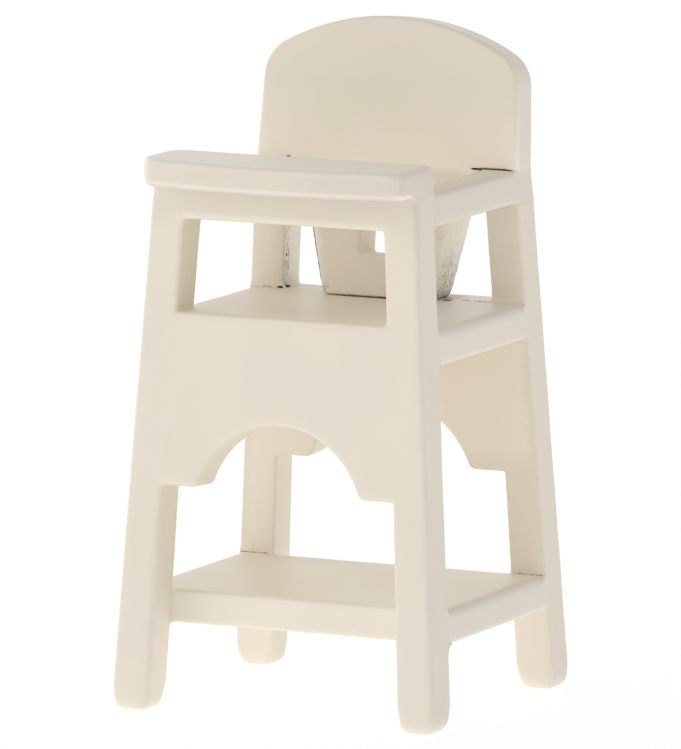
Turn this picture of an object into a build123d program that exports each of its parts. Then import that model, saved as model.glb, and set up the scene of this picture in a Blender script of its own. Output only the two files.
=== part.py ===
"""A painted wooden high chair for a dollhouse, built from flat boards.

Lengths are millimetres and angles are degrees. The chair faces -Y, +X is on the right of someone who
looks at its front, and +Z is up. The origin is on the floor, in the middle of the chair's whole box.
"""
import os
from math import cos, radians, sin, tan

from build123d import *

# Whole chair, over the outsides of the feet
base_width = 58.2
base_depth = 52.6
side_taper = 3.7
front_lean = 3.2
rear_lean = 2.3

# Front and rear panels
panel_thickness = 6.7
edge_round = 0.9
foot_round = 1.9
shoulder_round = 1.3
corner_round = 0.5
arch_rise = 10.8

# Front panel
front_leg_width = 6.1
front_leg_width_at_shoulder = 6.1
front_leg_width_at_floor = 6.7
front_shoulder_height = 37.1
front_shoulder_width = 6.1
window_sill_above_seat = 1.4
top_rail_width = 5.5

# Rear panel
rear_leg_width = 6.0
rear_leg_width_at_floor = 6.6
rear_shoulder_height = 36.3
rear_shoulder_width = 6.3

# Boards between the panels
seat_height = 64.0
seat_thickness = 5.7
shelf_height = 19.2
shelf_thickness = 5.5
board_top_round = 1.4

# Armrests
arms_above_seat = 21.9
armrest_thickness = 5.4
armrest_width = 6.0

# Tray
tray_thickness = 4.6
tray_overhang_at_ends = 4.8
tray_bow = 3.3
tray_overhang_behind = 0.8
tray_front_left_round = 3.9
tray_front_right_round = 1.3
tray_rear_left_round = 3.0
tray_rear_right_round = 1.3
tray_top_round = 0.7
tray_lip_round = 1.2

# Backrest
back_above_arms = 24.0
back_thickness = 6.4
back_recline = 6.9
back_side_taper = 2.5
crown_radius = 40.5
crown_corner_round = 6.5
splat_width_at_seat = 20.0
splat_clear_of_armrest = 2.5
splat_flare_gap = 0.1
splat_foot_round = 1.0
hole_size = 7.7
hole_above_seat = 7.2

# Dowels, hidden in the glued joints
dowel_diameter = 2.5
dowel_clearance = 0.05
dowel_end_gap = 0.3
dowel_chamfer = 0.3
dowel_depth_in_panel = 4.0
dowel_depth_in_board = 5.5
dowel_depth_in_tray = 2.8
dowel_depth_in_rail = 3.4
dowel_depth_in_leg = 6.0
dowel_depth_in_back = 5.0
seat_dowel_from_side = 9.0
tray_dowel_spacing = 24.0

# How far a cutting shape runs past what it cuts
overrun = 10.0

# Heights and places worked out from the sizes above
arm_height = seat_height + arms_above_seat
overall_height = arm_height + back_above_arms
armrest_underside = arm_height - armrest_thickness
window_sill_height = seat_height + window_sill_above_seat
window_top_height = arm_height - top_rail_width
tray_nose_reach = tray_overhang_at_ends + tray_bow - arm_height * tan(radians(front_lean))
front_foot_y = (tray_nose_reach - base_depth) / 2
rear_foot_y = front_foot_y + base_depth
dowel_radius = dowel_diameter / 2


def half_width(height):
    """Half of the chair's outer width at a height."""
    return base_width / 2 - height * tan(radians(side_taper))


def front_outer_y(height):
    """Front face of the front panel at a height."""
    return front_foot_y + height * tan(radians(front_lean))


def front_inner_y(height):
    """Rear face of the front panel at a height."""
    return front_outer_y(height) + panel_thickness / cos(radians(front_lean))


def rear_outer_y(height):
    """Rear face of the rear panel at a height."""
    return rear_foot_y - height * tan(radians(rear_lean))


def rear_inner_y(height):
    """Front face of the rear panel at a height."""
    return rear_outer_y(height) - panel_thickness / cos(radians(rear_lean))


def slab(low, high):
    """Everything between two heights, as a wide block."""
    reach = base_width + base_depth + overrun
    return Pos(0, 0, (low + high) / 2) * Box(reach, reach, high - low)


def envelope(low, high):
    """The tapering space between the chair's two sides, from one height to another."""
    outline = Polyline(
        (-half_width(low), low),
        (half_width(low), low),
        (half_width(high), high),
        (-half_width(high), high),
        close=True,
    )
    reach = base_depth + overrun
    return extrude(Plane.XZ * make_face(outline), amount=reach, both=True)


def between_panels(low, high, rear_y):
    """The space behind the front panel, as far as rear_y, from one height to another."""
    outline = Polyline(
        (front_inner_y(low), low),
        (rear_y(low), low),
        (rear_y(high), high),
        (front_inner_y(high), high),
        close=True,
    )
    return extrude(Plane.YZ * make_face(outline), amount=base_width, both=True) & envelope(low, high)


def leg_gap(shoulder, shoulder_width, width_at_shoulder, width_at_floor, lean):
    """The gap between two legs, with flat shoulders and an arch over it, drawn on the panel's face."""
    stretch = 1 / cos(radians(lean))
    inner_at_floor = half_width(0) - width_at_floor
    inner_at_shoulder = half_width(shoulder) - width_at_shoulder
    splay = (inner_at_floor - inner_at_shoulder) / shoulder
    inner_below = inner_at_floor + splay * overrun
    legs = make_face(
        Polyline(
            (-inner_below, -overrun * stretch),
            (inner_below, -overrun * stretch),
            (inner_at_shoulder, shoulder * stretch),
            (-inner_at_shoulder, shoulder * stretch),
            close=True,
        )
    )
    half_chord = inner_at_shoulder - shoulder_width
    arch_radius = (half_chord**2 + arch_rise**2) / (2 * arch_rise)
    gap = legs + Pos(0, shoulder * stretch + arch_rise - arch_radius) * Circle(arch_radius)
    corners = gap.vertices().filter_by(lambda v: abs(abs(v.X) - half_chord) < shoulder_round)
    return fillet(corners, shoulder_round)


def panel_outline(top, lean):
    """The panel's outer outline on its face, longer than the panel at both ends."""
    stretch = 1 / cos(radians(lean))
    low = -overrun
    high = top + overrun
    return make_face(
        Polyline(
            (-half_width(low), low * stretch),
            (half_width(low), low * stretch),
            (half_width(high), high * stretch),
            (-half_width(high), high * stretch),
            close=True,
        )
    )


def window(low, high, leg_width, lean):
    """An opening between the two legs from one height to another, with its sides along the legs."""
    stretch = 1 / cos(radians(lean))
    corners = Polyline(
        (-half_width(low) + leg_width, low * stretch),
        (half_width(low) - leg_width, low * stretch),
        (half_width(high) - leg_width, high * stretch),
        (-half_width(high) + leg_width, high * stretch),
        close=True,
    )
    return make_face(corners)


def soften(panel, face_plane, top):
    """Round the edges of the panel's outward face below its top, and then the feet."""
    hair = edge_round / 10

    def on_face(edge):
        middle = edge @ 0.5
        away = abs((middle - face_plane.origin).dot(face_plane.z_dir))
        return away < hair and hair < middle.Z < top - edge_round

    panel = fillet(panel.edges().filter_by(on_face), edge_round)
    return fillet(panel.edges().filter_by(lambda edge: (edge @ 0.5).Z < hair), foot_round)


def dowel_hole(place, depth):
    """A blind hole along the place's Z axis, which starts just outside the slanting face there."""
    align = (Align.CENTER, Align.CENTER, Align.MIN)
    drill = Cylinder(dowel_radius + dowel_clearance, depth + dowel_end_gap, align=align)
    return place * Pos(0, 0, -dowel_end_gap) * drill


def dowel(place, front_depth, rear_depth):
    """A chamfered dowel that crosses a joint at the place, shorter than its two holes together."""
    length = front_depth + rear_depth - 2 * dowel_end_gap
    pin = Cylinder(dowel_radius, length, align=(Align.CENTER, Align.CENTER, Align.MIN))
    pin = chamfer(pin.edges().filter_by(GeomType.CIRCLE), dowel_chamfer)
    return place * Pos(0, 0, dowel_end_gap - front_depth) * pin


def joint_places(height, from_side, y):
    """Dowel places at a board's end, one near each side, pointing to the rear."""
    x = half_width(height) - from_side
    return [Location((side * x, y, height), (-90, 0, 0)) for side in (-1, 1)]


seat_middle = seat_height - seat_thickness / 2
shelf_middle = shelf_height - shelf_thickness / 2
armrest_middle = arm_height - armrest_thickness / 2
armrest_centre_x = half_width(arm_height) - armrest_width / 2
back_dowel_y = (rear_inner_y(armrest_underside) + rear_outer_y(armrest_underside)) / 2
tray_dowel_y = (front_outer_y(arm_height) + front_inner_y(arm_height)) / 2

seat_front_joints = joint_places(seat_middle, seat_dowel_from_side, front_inner_y(seat_middle))
seat_rear_joints = joint_places(seat_middle, seat_dowel_from_side, rear_inner_y(seat_middle))
shelf_front_joints = joint_places(shelf_middle, front_leg_width / 2, front_inner_y(shelf_middle))
shelf_rear_joints = joint_places(shelf_middle, rear_leg_width / 2, rear_inner_y(shelf_middle))
armrest_joints = joint_places(armrest_middle, armrest_width / 2, front_inner_y(armrest_middle))
tray_joints = [Location((side * tray_dowel_spacing / 2, tray_dowel_y, arm_height)) for side in (-1, 1)]
back_joints = [Location((side * armrest_centre_x, back_dowel_y, armrest_underside)) for side in (-1, 1)]


def drilled_back(board, joints, depth):
    """Drill holes that run from the joints to the rear or up."""
    for place in joints:
        board -= dowel_hole(place, depth)
    return board


def drilled_front(board, joints, depth):
    """Drill holes that run from the joints to the front or down."""
    for place in joints:
        board -= dowel_hole(place * Rot(180, 0, 0), depth)
    return board


def make_front_panel():
    plane = Plane(
        origin=(0, front_foot_y, 0),
        x_dir=(1, 0, 0),
        z_dir=(0, -cos(radians(front_lean)), sin(radians(front_lean))),
    )
    outline = panel_outline(arm_height, front_lean)
    outline -= leg_gap(
        front_shoulder_height,
        front_shoulder_width,
        front_leg_width_at_shoulder,
        front_leg_width_at_floor,
        front_lean,
    )
    outline -= window(window_sill_height, window_top_height, front_leg_width, front_lean)
    panel = extrude(plane * outline, amount=-panel_thickness) & slab(0, arm_height)
    panel = soften(panel, plane, arm_height)
    for joints in (seat_front_joints, shelf_front_joints, armrest_joints):
        panel = drilled_front(panel, joints, dowel_depth_in_panel)
    return drilled_front(panel, tray_joints, dowel_depth_in_rail)


def make_rear_panel():
    plane = Plane(
        origin=(0, rear_foot_y, 0),
        x_dir=(-1, 0, 0),
        z_dir=(0, cos(radians(rear_lean)), sin(radians(rear_lean))),
    )
    outline = panel_outline(armrest_underside, rear_lean)
    outline -= leg_gap(
        rear_shoulder_height,
        rear_shoulder_width,
        rear_leg_width,
        rear_leg_width_at_floor,
        rear_lean,
    )
    panel = extrude(plane * outline, amount=-panel_thickness) & slab(0, armrest_underside)
    seat_gap = window(seat_height - overrun, armrest_underside + overrun, rear_leg_width, rear_lean)
    opening = extrude(plane * seat_gap, amount=2 * panel_thickness, both=True)
    panel -= opening & slab(seat_height, armrest_underside + overrun)
    panel = soften(panel, plane, armrest_underside)
    for joints in (seat_rear_joints, shelf_rear_joints):
        panel = drilled_back(panel, joints, dowel_depth_in_panel)
    return drilled_front(panel, back_joints, dowel_depth_in_leg)


def runs_along(edge, direction):
    """Whether an edge runs along a direction rather than across it."""
    return edge.tangent_at(0.5).cross(direction).length < abs(edge.tangent_at(0.5).dot(direction))


def soften_sides(board, top_round):
    """Round the board's edges that run from front to rear, the upper ones with their own radius."""
    middle = board.center().Z
    along = board.edges().filter_by(lambda edge: runs_along(edge, Vector(0, 1, 0)))
    board = fillet(along.filter_by(lambda edge: (edge @ 0.5).Z > middle), top_round)
    along = board.edges().filter_by(lambda edge: runs_along(edge, Vector(0, 1, 0)))
    lowest = along.sort_by(Axis.Z)[:2]
    return fillet(lowest, edge_round)


def make_seat_board():
    board = between_panels(seat_height - seat_thickness, seat_height, rear_inner_y)
    board = soften_sides(board, board_top_round)
    board = drilled_back(board, seat_front_joints, dowel_depth_in_board)
    return drilled_front(board, seat_rear_joints, dowel_depth_in_board)


def make_foot_shelf():
    board = between_panels(shelf_height - shelf_thickness, shelf_height, rear_inner_y)
    board = soften_sides(board, board_top_round)
    board = drilled_back(board, shelf_front_joints, dowel_depth_in_board)
    return drilled_front(board, shelf_rear_joints, dowel_depth_in_board)


def make_armrest(side):
    strip = between_panels(armrest_underside, arm_height, rear_outer_y)
    inner = half_width(arm_height) - armrest_width
    keep = Box(base_width, 2 * base_depth, 2 * overall_height, align=(Align.MIN, Align.CENTER, Align.CENTER))
    strip &= mirror(Pos(inner, 0, 0) * keep, Plane.YZ) if side < 0 else Pos(inner, 0, 0) * keep
    strip = soften_sides(strip, edge_round)
    joint = armrest_joints[0] if side < 0 else armrest_joints[1]
    strip = drilled_back(strip, [joint], dowel_depth_in_board)
    post = back_joints[0] if side < 0 else back_joints[1]
    return drilled_back(strip, [post], armrest_thickness)


def make_tray():
    half = half_width(arm_height)
    end_y = front_outer_y(arm_height) - tray_overhang_at_ends
    rear_y = front_inner_y(arm_height) + tray_overhang_behind
    front_edge = ThreePointArc((-half, end_y), (0, end_y - tray_bow), (half, end_y))
    rest = Polyline((half, end_y), (half, rear_y), (-half, rear_y), (-half, end_y))
    outline = make_face(front_edge + rest)
    rounds = (
        (-half, end_y, tray_front_left_round),
        (half, end_y, tray_front_right_round),
        (half, rear_y, tray_rear_right_round),
        (-half, rear_y, tray_rear_left_round),
    )
    for x, y, radius in rounds:
        corner = outline.vertices().sort_by_distance((x, y, 0))[0]
        outline = fillet(corner, radius)
    board = extrude(Plane.XY.offset(arm_height) * outline, amount=tray_thickness)
    board = fillet(board.faces().sort_by(Axis.Z)[-1].edges(), tray_top_round)
    under = board.faces().sort_by(Axis.Z)[0].edges()
    front_under = under.filter_by(lambda e: (e @ 0.5).Y < front_outer_y(arm_height) - tray_lip_round)
    board = fillet(front_under, tray_lip_round)
    return drilled_back(board, tray_joints, dowel_depth_in_tray)


def make_backrest():
    stretch = 1 / cos(radians(back_recline))
    plane = Plane(
        origin=(0, rear_inner_y(arm_height), arm_height),
        x_dir=(1, 0, 0),
        z_dir=(0, -cos(radians(back_recline)), sin(radians(back_recline))),
    )
    apex = (overall_height - arm_height) * stretch
    half = half_width(arm_height)
    narrowing = tan(radians(back_side_taper))
    wide = make_face(
        Polyline(
            (-half - overrun * narrowing, -overrun),
            (half + overrun * narrowing, -overrun),
            (half - apex * narrowing, apex),
            (-half + apex * narrowing, apex),
            close=True,
        )
    )
    wide &= Pos(0, apex - crown_radius) * Circle(crown_radius)
    crown_corners = wide.vertices().filter_by(lambda v: v.Y > 0)
    wide = fillet(crown_corners, crown_corner_round)
    board = extrude(plane * wide, amount=-back_thickness) & slab(arm_height, overall_height + overrun)
    above = board.edges().filter_by(lambda edge: (edge @ 0.5).Z > arm_height + edge_round)
    board = fillet(above.filter_by(lambda edge: not runs_along(edge, plane.z_dir)), edge_round)

    half_at_seat = splat_width_at_seat / 2
    half_at_arms = half - armrest_width - splat_clear_of_armrest
    flare = (half_at_arms - half_at_seat) / arms_above_seat
    half_low = half_at_seat - overrun * flare
    low = -(arms_above_seat + overrun) * stretch
    half_straight = half_at_arms - armrest_thickness * flare
    straight_end = -armrest_thickness * stretch
    half_flared = half - armrest_width - splat_flare_gap
    high = overrun * stretch
    foot_line = Polyline(
        (-half_straight, straight_end),
        (-half_low, low),
        (half_low, low),
        (half_straight, straight_end),
    )
    curve = TangentArc((half_straight, straight_end), (half_flared, 0), tangent=(flare, stretch))
    top_line = Polyline((half_flared, 0), (half_flared, high), (-half_flared, high), (-half_flared, 0))
    splat = make_face(foot_line + curve + top_line + mirror(curve, Plane.YZ))
    hole_centre = (hole_above_seat + hole_size / 2 - arms_above_seat) * stretch
    splat -= Pos(0, hole_centre) * RectangleRounded(hole_size, hole_size, corner_round)
    tongue = extrude(plane * splat, amount=-back_thickness) & slab(seat_height, arm_height)
    foot = tongue.faces().sort_by(Axis.Z)[0].edges()
    tongue = fillet(foot.filter_by(lambda edge: runs_along(edge, plane.z_dir)), splat_foot_round)
    board += tongue
    armrest_tops = [place * Pos(0, 0, armrest_thickness) for place in back_joints]
    return drilled_back(board, armrest_tops, dowel_depth_in_back)


def make_seat_dowels():
    front = [dowel(place, dowel_depth_in_panel, dowel_depth_in_board) for place in seat_front_joints]
    rear = [dowel(place, dowel_depth_in_board, dowel_depth_in_panel) for place in seat_rear_joints]
    return Compound(front + rear)


def make_shelf_dowels():
    front = [dowel(place, dowel_depth_in_panel, dowel_depth_in_board) for place in shelf_front_joints]
    rear = [dowel(place, dowel_depth_in_board, dowel_depth_in_panel) for place in shelf_rear_joints]
    return Compound(front + rear)


def make_armrest_dowels():
    return Compound([dowel(place, dowel_depth_in_panel, dowel_depth_in_board) for place in armrest_joints])


def make_tray_dowels():
    return Compound([dowel(place, dowel_depth_in_rail, dowel_depth_in_tray) for place in tray_joints])


def make_back_dowels():
    above = armrest_thickness + dowel_depth_in_back
    return Compound([dowel(place, dowel_depth_in_leg, above) for place in back_joints])


def main():
    nodes = {
        "front_panel": make_front_panel(),
        "rear_panel": make_rear_panel(),
        "seat_board": make_seat_board(),
        "foot_shelf": make_foot_shelf(),
        "left_armrest": make_armrest(-1),
        "right_armrest": make_armrest(1),
        "tray": make_tray(),
        "backrest": make_backrest(),
        "seat_dowels": make_seat_dowels(),
        "shelf_dowels": make_shelf_dowels(),
        "armrest_dowels": make_armrest_dowels(),
        "tray_dowels": make_tray_dowels(),
        "back_dowels": make_back_dowels(),
    }
    os.makedirs("parts", exist_ok=True)
    for name, shape in nodes.items():
        export_step(shape, f"parts/{name}.step")


main()
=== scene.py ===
"""Looks of a painted wooden high chair for a dollhouse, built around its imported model.

Sizes in the classes are millimetres and angles are degrees. Blender's objects are in metres.
The chair faces -Y, +X is on the right of someone who looks at its front, and +Z is up.
"""

import logging
from dataclasses import dataclass
from enum import Enum
from math import atan2, ceil, cos, hypot, pi, radians, sin, sqrt, tan
from typing import Callable

import bmesh
import bpy
import numpy as np
from bmesh.types import BMesh, BMVert
from bpy.types import Material, Object
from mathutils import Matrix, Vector, noise
from mathutils.geometry import delaunay_2d_cdt


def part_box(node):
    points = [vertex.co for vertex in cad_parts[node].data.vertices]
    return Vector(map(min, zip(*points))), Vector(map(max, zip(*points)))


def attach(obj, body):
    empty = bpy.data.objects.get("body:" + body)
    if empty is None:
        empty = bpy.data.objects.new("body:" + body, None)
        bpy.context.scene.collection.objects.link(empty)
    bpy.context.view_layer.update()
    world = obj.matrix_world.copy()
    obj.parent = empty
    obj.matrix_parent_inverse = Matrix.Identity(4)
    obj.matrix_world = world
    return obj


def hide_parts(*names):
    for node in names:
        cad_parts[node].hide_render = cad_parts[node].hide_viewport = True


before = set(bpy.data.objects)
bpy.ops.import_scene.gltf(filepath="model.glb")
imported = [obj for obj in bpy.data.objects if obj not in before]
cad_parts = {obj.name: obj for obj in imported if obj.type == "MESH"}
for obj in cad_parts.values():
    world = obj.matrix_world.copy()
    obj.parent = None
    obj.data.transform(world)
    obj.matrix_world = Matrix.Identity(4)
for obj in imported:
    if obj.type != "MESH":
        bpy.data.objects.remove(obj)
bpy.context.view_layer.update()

MM = 0.001
LOG = logging.getLogger("high_chair")

Pair = tuple[float, float]
Point = tuple[float, float]
Loop = list[Point]
Colour = tuple[int, int, int]


def smooth(value: float, low: float, high: float) -> float:
    """Rise from 0 to 1 without corners as a value goes from low to high."""
    share = min(1.0, max(0.0, (value - low) / (high - low)))
    return share * share * (3 - 2 * share)


def between(value: float, low: float, high: float, fade: float) -> float:
    """1 from low to high, falling to 0 within a fade outside them."""
    return smooth(value, low - fade, low) * (1 - smooth(value, high, high + fade))


def blend(first: float, second: float, share: float) -> float:
    """A value a share of the way from the first to the second."""
    return first + (second - first) * share


def linear(colour: Colour) -> tuple[float, float, float, float]:
    """Turn a colour as seen on a screen into the linear one that shaders take.

    Args:
        colour: red, green and blue from 0 to 255.

    Returns:
        The linear red, green and blue, and an alpha of 1.
    """
    parts = []
    for value in colour:
        share = value / 255
        parts.append(share / 12.92 if share <= 0.04045 else ((share + 0.055) / 1.055) ** 2.4)
    return (parts[0], parts[1], parts[2], 1.0)


def arc(centre: Point, radius: float, start: float, end: float, steps: int) -> Loop:
    """Points along an arc.

    Args:
        centre: the arc's centre.
        radius: its radius.
        start: angle of the first point, in radians.
        end: angle of the last point, in radians.
        steps: how many runs the arc is cut into.

    Returns:
        The points, both ends among them.
    """
    turns = [blend(start, end, step / steps) for step in range(steps + 1)]
    return [(centre[0] + radius * cos(turn), centre[1] + radius * sin(turn)) for turn in turns]


def leaving_arc(start: Point, way: Point, end: Point, steps: int) -> Loop:
    """Points along the arc that leaves a point in a given direction and ends at another.

    Args:
        start: the first point.
        way: the direction there.
        end: the last point.
        steps: how many runs the arc is cut into.

    Returns:
        The points, both ends among them.
    """
    chord = Vector(end) - Vector(start)
    side = Vector((-way[1], way[0])).normalized()
    radius = chord.length_squared / (2 * chord.dot(side))
    centre = Vector(start) + side * radius
    first = Vector(start) - centre
    last = Vector(end) - centre
    turn = (atan2(last.y, last.x) - atan2(first.y, first.x) + pi) % (2 * pi) - pi
    begin = atan2(first.y, first.x)
    return arc((centre.x, centre.y), abs(radius), begin, begin + turn, steps)


@dataclass(frozen=True)
class Corner:
    """A corner of an outline between two straight runs, with its rounding."""

    u: float
    v: float
    radius: float = 0.0
    steps: int = 6

    def points(self, before: Point, after: Point) -> Loop:
        """The rounded corner's points.

        Args:
            before: a point on the run that leads to the corner.
            after: a point on the run that leaves it.

        Returns:
            The corner alone if it is sharp, or else an arc.
        """
        if self.radius <= 0:
            return [(self.u, self.v)]
        corner = Vector((self.u, self.v))
        back = (Vector(before) - corner).normalized()
        ahead = (Vector(after) - corner).normalized()
        half = back.angle(ahead) / 2
        centre = corner + (back + ahead).normalized() * (self.radius / sin(half))
        first = corner + back * (self.radius / tan(half)) - centre
        last = corner + ahead * (self.radius / tan(half)) - centre
        start = atan2(first.y, first.x)
        turn = (atan2(last.y, last.x) - start + pi) % (2 * pi) - pi
        return arc((centre.x, centre.y), self.radius, start, start + turn, self.steps)


def mirrored(corners: list[Corner]) -> list[Corner]:
    """The same corners on the other side of the chair, in the order that goes on round it."""
    return [Corner(-corner.u, corner.v, corner.radius, corner.steps) for corner in corners[::-1]]


def trace(items: list[Corner | Loop]) -> Loop:
    """Join corners and ready runs of points into one closed outline.

    Args:
        items: corners and runs in order, with the material on the left of the way round.

    Returns:
        The outline's points, the first of them not repeated.
    """
    loop: Loop = []
    for index, item in enumerate(items):
        if isinstance(item, list):
            loop += item
            continue
        before = items[index - 1]
        after = items[(index + 1) % len(items)]
        start = before[-1] if isinstance(before, list) else (before.u, before.v)
        end = after[0] if isinstance(after, list) else (after.u, after.v)
        loop += item.points(start, end)
    return loop


def refine(loop: Loop, spacing: Callable[[float, float], float]) -> Loop:
    """Cut an outline's long runs into short ones.

    Args:
        loop: the outline.
        spacing: the longest run allowed near a point.

    Returns:
        The outline with its old points and the new ones.
    """
    fine: Loop = []
    for (u0, v0), (u1, v1) in zip(loop, loop[1:] + loop[:1]):
        most = spacing((u0 + u1) / 2, (v0 + v1) / 2)
        pieces = max(1, ceil(hypot(u1 - u0, v1 - v0) / most))
        fine += [(blend(u0, u1, k / pieces), blend(v0, v1, k / pieces)) for k in range(pieces)]
    return fine


def inside(points: np.ndarray, loops: list[np.ndarray]) -> np.ndarray:
    """Which points lie in the material, by how many outlines a ray from them crosses.

    Args:
        points: the points, one a row.
        loops: the closed outlines.

    Returns:
        A true or false for each point.
    """
    odd = np.zeros(len(points), bool)
    for loop in loops:
        ahead = np.roll(loop, -1, axis=0)
        for (u0, v0), (u1, v1) in zip(loop, ahead):
            crosses = (v0 > points[:, 1]) != (v1 > points[:, 1])
            if v0 == v1:
                continue
            at = u0 + (points[:, 1] - v0) * (u1 - u0) / (v1 - v0)
            odd ^= crosses & (points[:, 0] < at)
    return odd


def within(faces: list[list[int]], walls: set[frozenset[int]]) -> list[list[int]]:
    """The faces in the material: each outline crossed on the way from outside turns out into in.

    Args:
        faces: faces that fill the outline's surroundings too, each as its points' numbers.
        walls: the edges that lie on an outline.

    Returns:
        The faces that belong to the board.
    """
    owners: dict[frozenset[int], list[int]] = {}
    sides = [[frozenset(pair) for pair in zip(face, face[1:] + face[:1])] for face in faces]
    for index, edges in enumerate(sides):
        for edge in edges:
            owners.setdefault(edge, []).append(index)
    kept = {found[0]: edge in walls for edge, found in owners.items() if len(found) == 1}
    waiting = list(kept)
    while waiting:
        index = waiting.pop()
        for edge in sides[index]:
            for other in owners[edge]:
                if other not in kept:
                    kept[other] = kept[index] != (edge in walls)
                    waiting.append(other)
    return [faces[index] for index in sorted(kept) if kept[index]]


@dataclass(frozen=True)
class Carcase:
    """The chair's planes: its tapering sides, leaning panels and the levels of its boards."""

    shelf_under: float
    shelf_top: float
    seat_under: float
    seat_top: float
    arm_under: float
    arm_top: float
    tray_top: float
    crown_top: float
    half_width_at_arms: float
    front_inner_at_arms: float
    rear_inner_at_leg_tops: float
    side_taper: float = 3.7
    front_lean: float = 3.2
    rear_lean: float = 2.3
    panel_thickness: float = 6.7

    @classmethod
    def from_frame(cls) -> "Carcase":
        """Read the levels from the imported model's nodes.

        Returns:
            The chair's planes.
        """
        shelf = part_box("foot_shelf")
        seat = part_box("seat_board")
        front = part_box("front_panel")
        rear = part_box("rear_panel")
        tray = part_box("tray")
        return cls(
            shelf_under=shelf[0].z / MM,
            shelf_top=shelf[1].z / MM,
            seat_under=seat[0].z / MM,
            seat_top=seat[1].z / MM,
            arm_under=rear[1].z / MM,
            arm_top=front[1].z / MM,
            tray_top=tray[1].z / MM,
            crown_top=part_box("backrest")[1].z / MM,
            half_width_at_arms=tray[1].x / MM,
            front_inner_at_arms=front[1].y / MM,
            rear_inner_at_leg_tops=rear[0].y / MM,
        )

    def half_width(self, z: float) -> float:
        """Half of the chair's outer width at a height."""
        return self.half_width_at_arms + (self.arm_top - z) * tan(radians(self.side_taper))

    def front_inner(self, z: float) -> float:
        """Rear face of the front panel at a height."""
        return self.front_inner_at_arms - (self.arm_top - z) * tan(radians(self.front_lean))

    def front_outer(self, z: float) -> float:
        """Front face of the front panel at a height."""
        return self.front_inner(z) - self.panel_thickness / cos(radians(self.front_lean))

    def rear_inner(self, z: float) -> float:
        """Front face of the rear panel at a height."""
        return self.rear_inner_at_leg_tops + (self.arm_under - z) * tan(radians(self.rear_lean))

    def rear_outer(self, z: float) -> float:
        """Rear face of the rear panel at a height."""
        return self.rear_inner(z) + self.panel_thickness / cos(radians(self.rear_lean))

    def glued(self, z: float, fade: float = 1.2) -> float:
        """1 where a board is glued between the panels at a height, else 0.

        Args:
            z: the height.
            fade: over how much of it the glued zones end.

        Returns:
            How glued it is.
        """
        shelf = between(z, self.shelf_under, self.shelf_top, fade)
        seat = between(z, self.seat_under, self.seat_top, fade)
        rest = between(z, self.arm_under, self.arm_top, fade)
        return max(shelf, seat, rest)


class Grain(Enum):
    """Which way a board's wood grain runs, as the scale of its pattern along X, Y and Z."""

    UPRIGHT = (1.0, 1.0, 0.06)
    CROSSWISE = (0.06, 1.0, 1.0)
    LENGTHWISE = (1.0, 0.06, 1.0)


class Signal:
    """A node's output, with the arithmetic that the finishes use."""

    def __init__(self, tree: "Nodes", socket: bpy.types.NodeSocket) -> None:
        """Keep the node tree and the socket."""
        self.tree = tree
        self.socket = socket

    def _math(self, operation: str, first: "Signal | float", second: "Signal | float") -> "Signal":
        """Add a Math node on two values."""
        return self.tree.add("ShaderNodeMath", {"operation": operation}, {0: first, 1: second})

    def __add__(self, other: "Signal | float") -> "Signal":
        """This plus another."""
        return self._math("ADD", self, other)

    __radd__ = __add__

    def __sub__(self, other: "Signal | float") -> "Signal":
        """This less another."""
        return self._math("SUBTRACT", self, other)

    def __rsub__(self, other: "Signal | float") -> "Signal":
        """Another less this."""
        return self._math("SUBTRACT", other, self)

    def __mul__(self, other: "Signal | float") -> "Signal":
        """This times another."""
        return self._math("MULTIPLY", self, other)

    __rmul__ = __mul__

    def above(self, other: "Signal | float") -> "Signal":
        """1 where this is above another, else 0."""
        return self._math("GREATER_THAN", self, other)

    def at_most(self, other: "Signal | float") -> "Signal":
        """The lower of this and another."""
        return self._math("MINIMUM", self, other)

    def at_least(self, other: "Signal | float") -> "Signal":
        """The higher of this and another."""
        return self._math("MAXIMUM", self, other)

    def ramp(self, low: float, high: float) -> "Signal":
        """0 at low and 1 at high, with a smooth rise between.

        Args:
            low: where the rise begins.
            high: where it ends.

        Returns:
            The rise as a signal.
        """
        settings = {"interpolation_type": "SMOOTHSTEP"}
        values = {0: self, "From Min": low, "From Max": high}
        return self.tree.add("ShaderNodeMapRange", settings, values)


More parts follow.
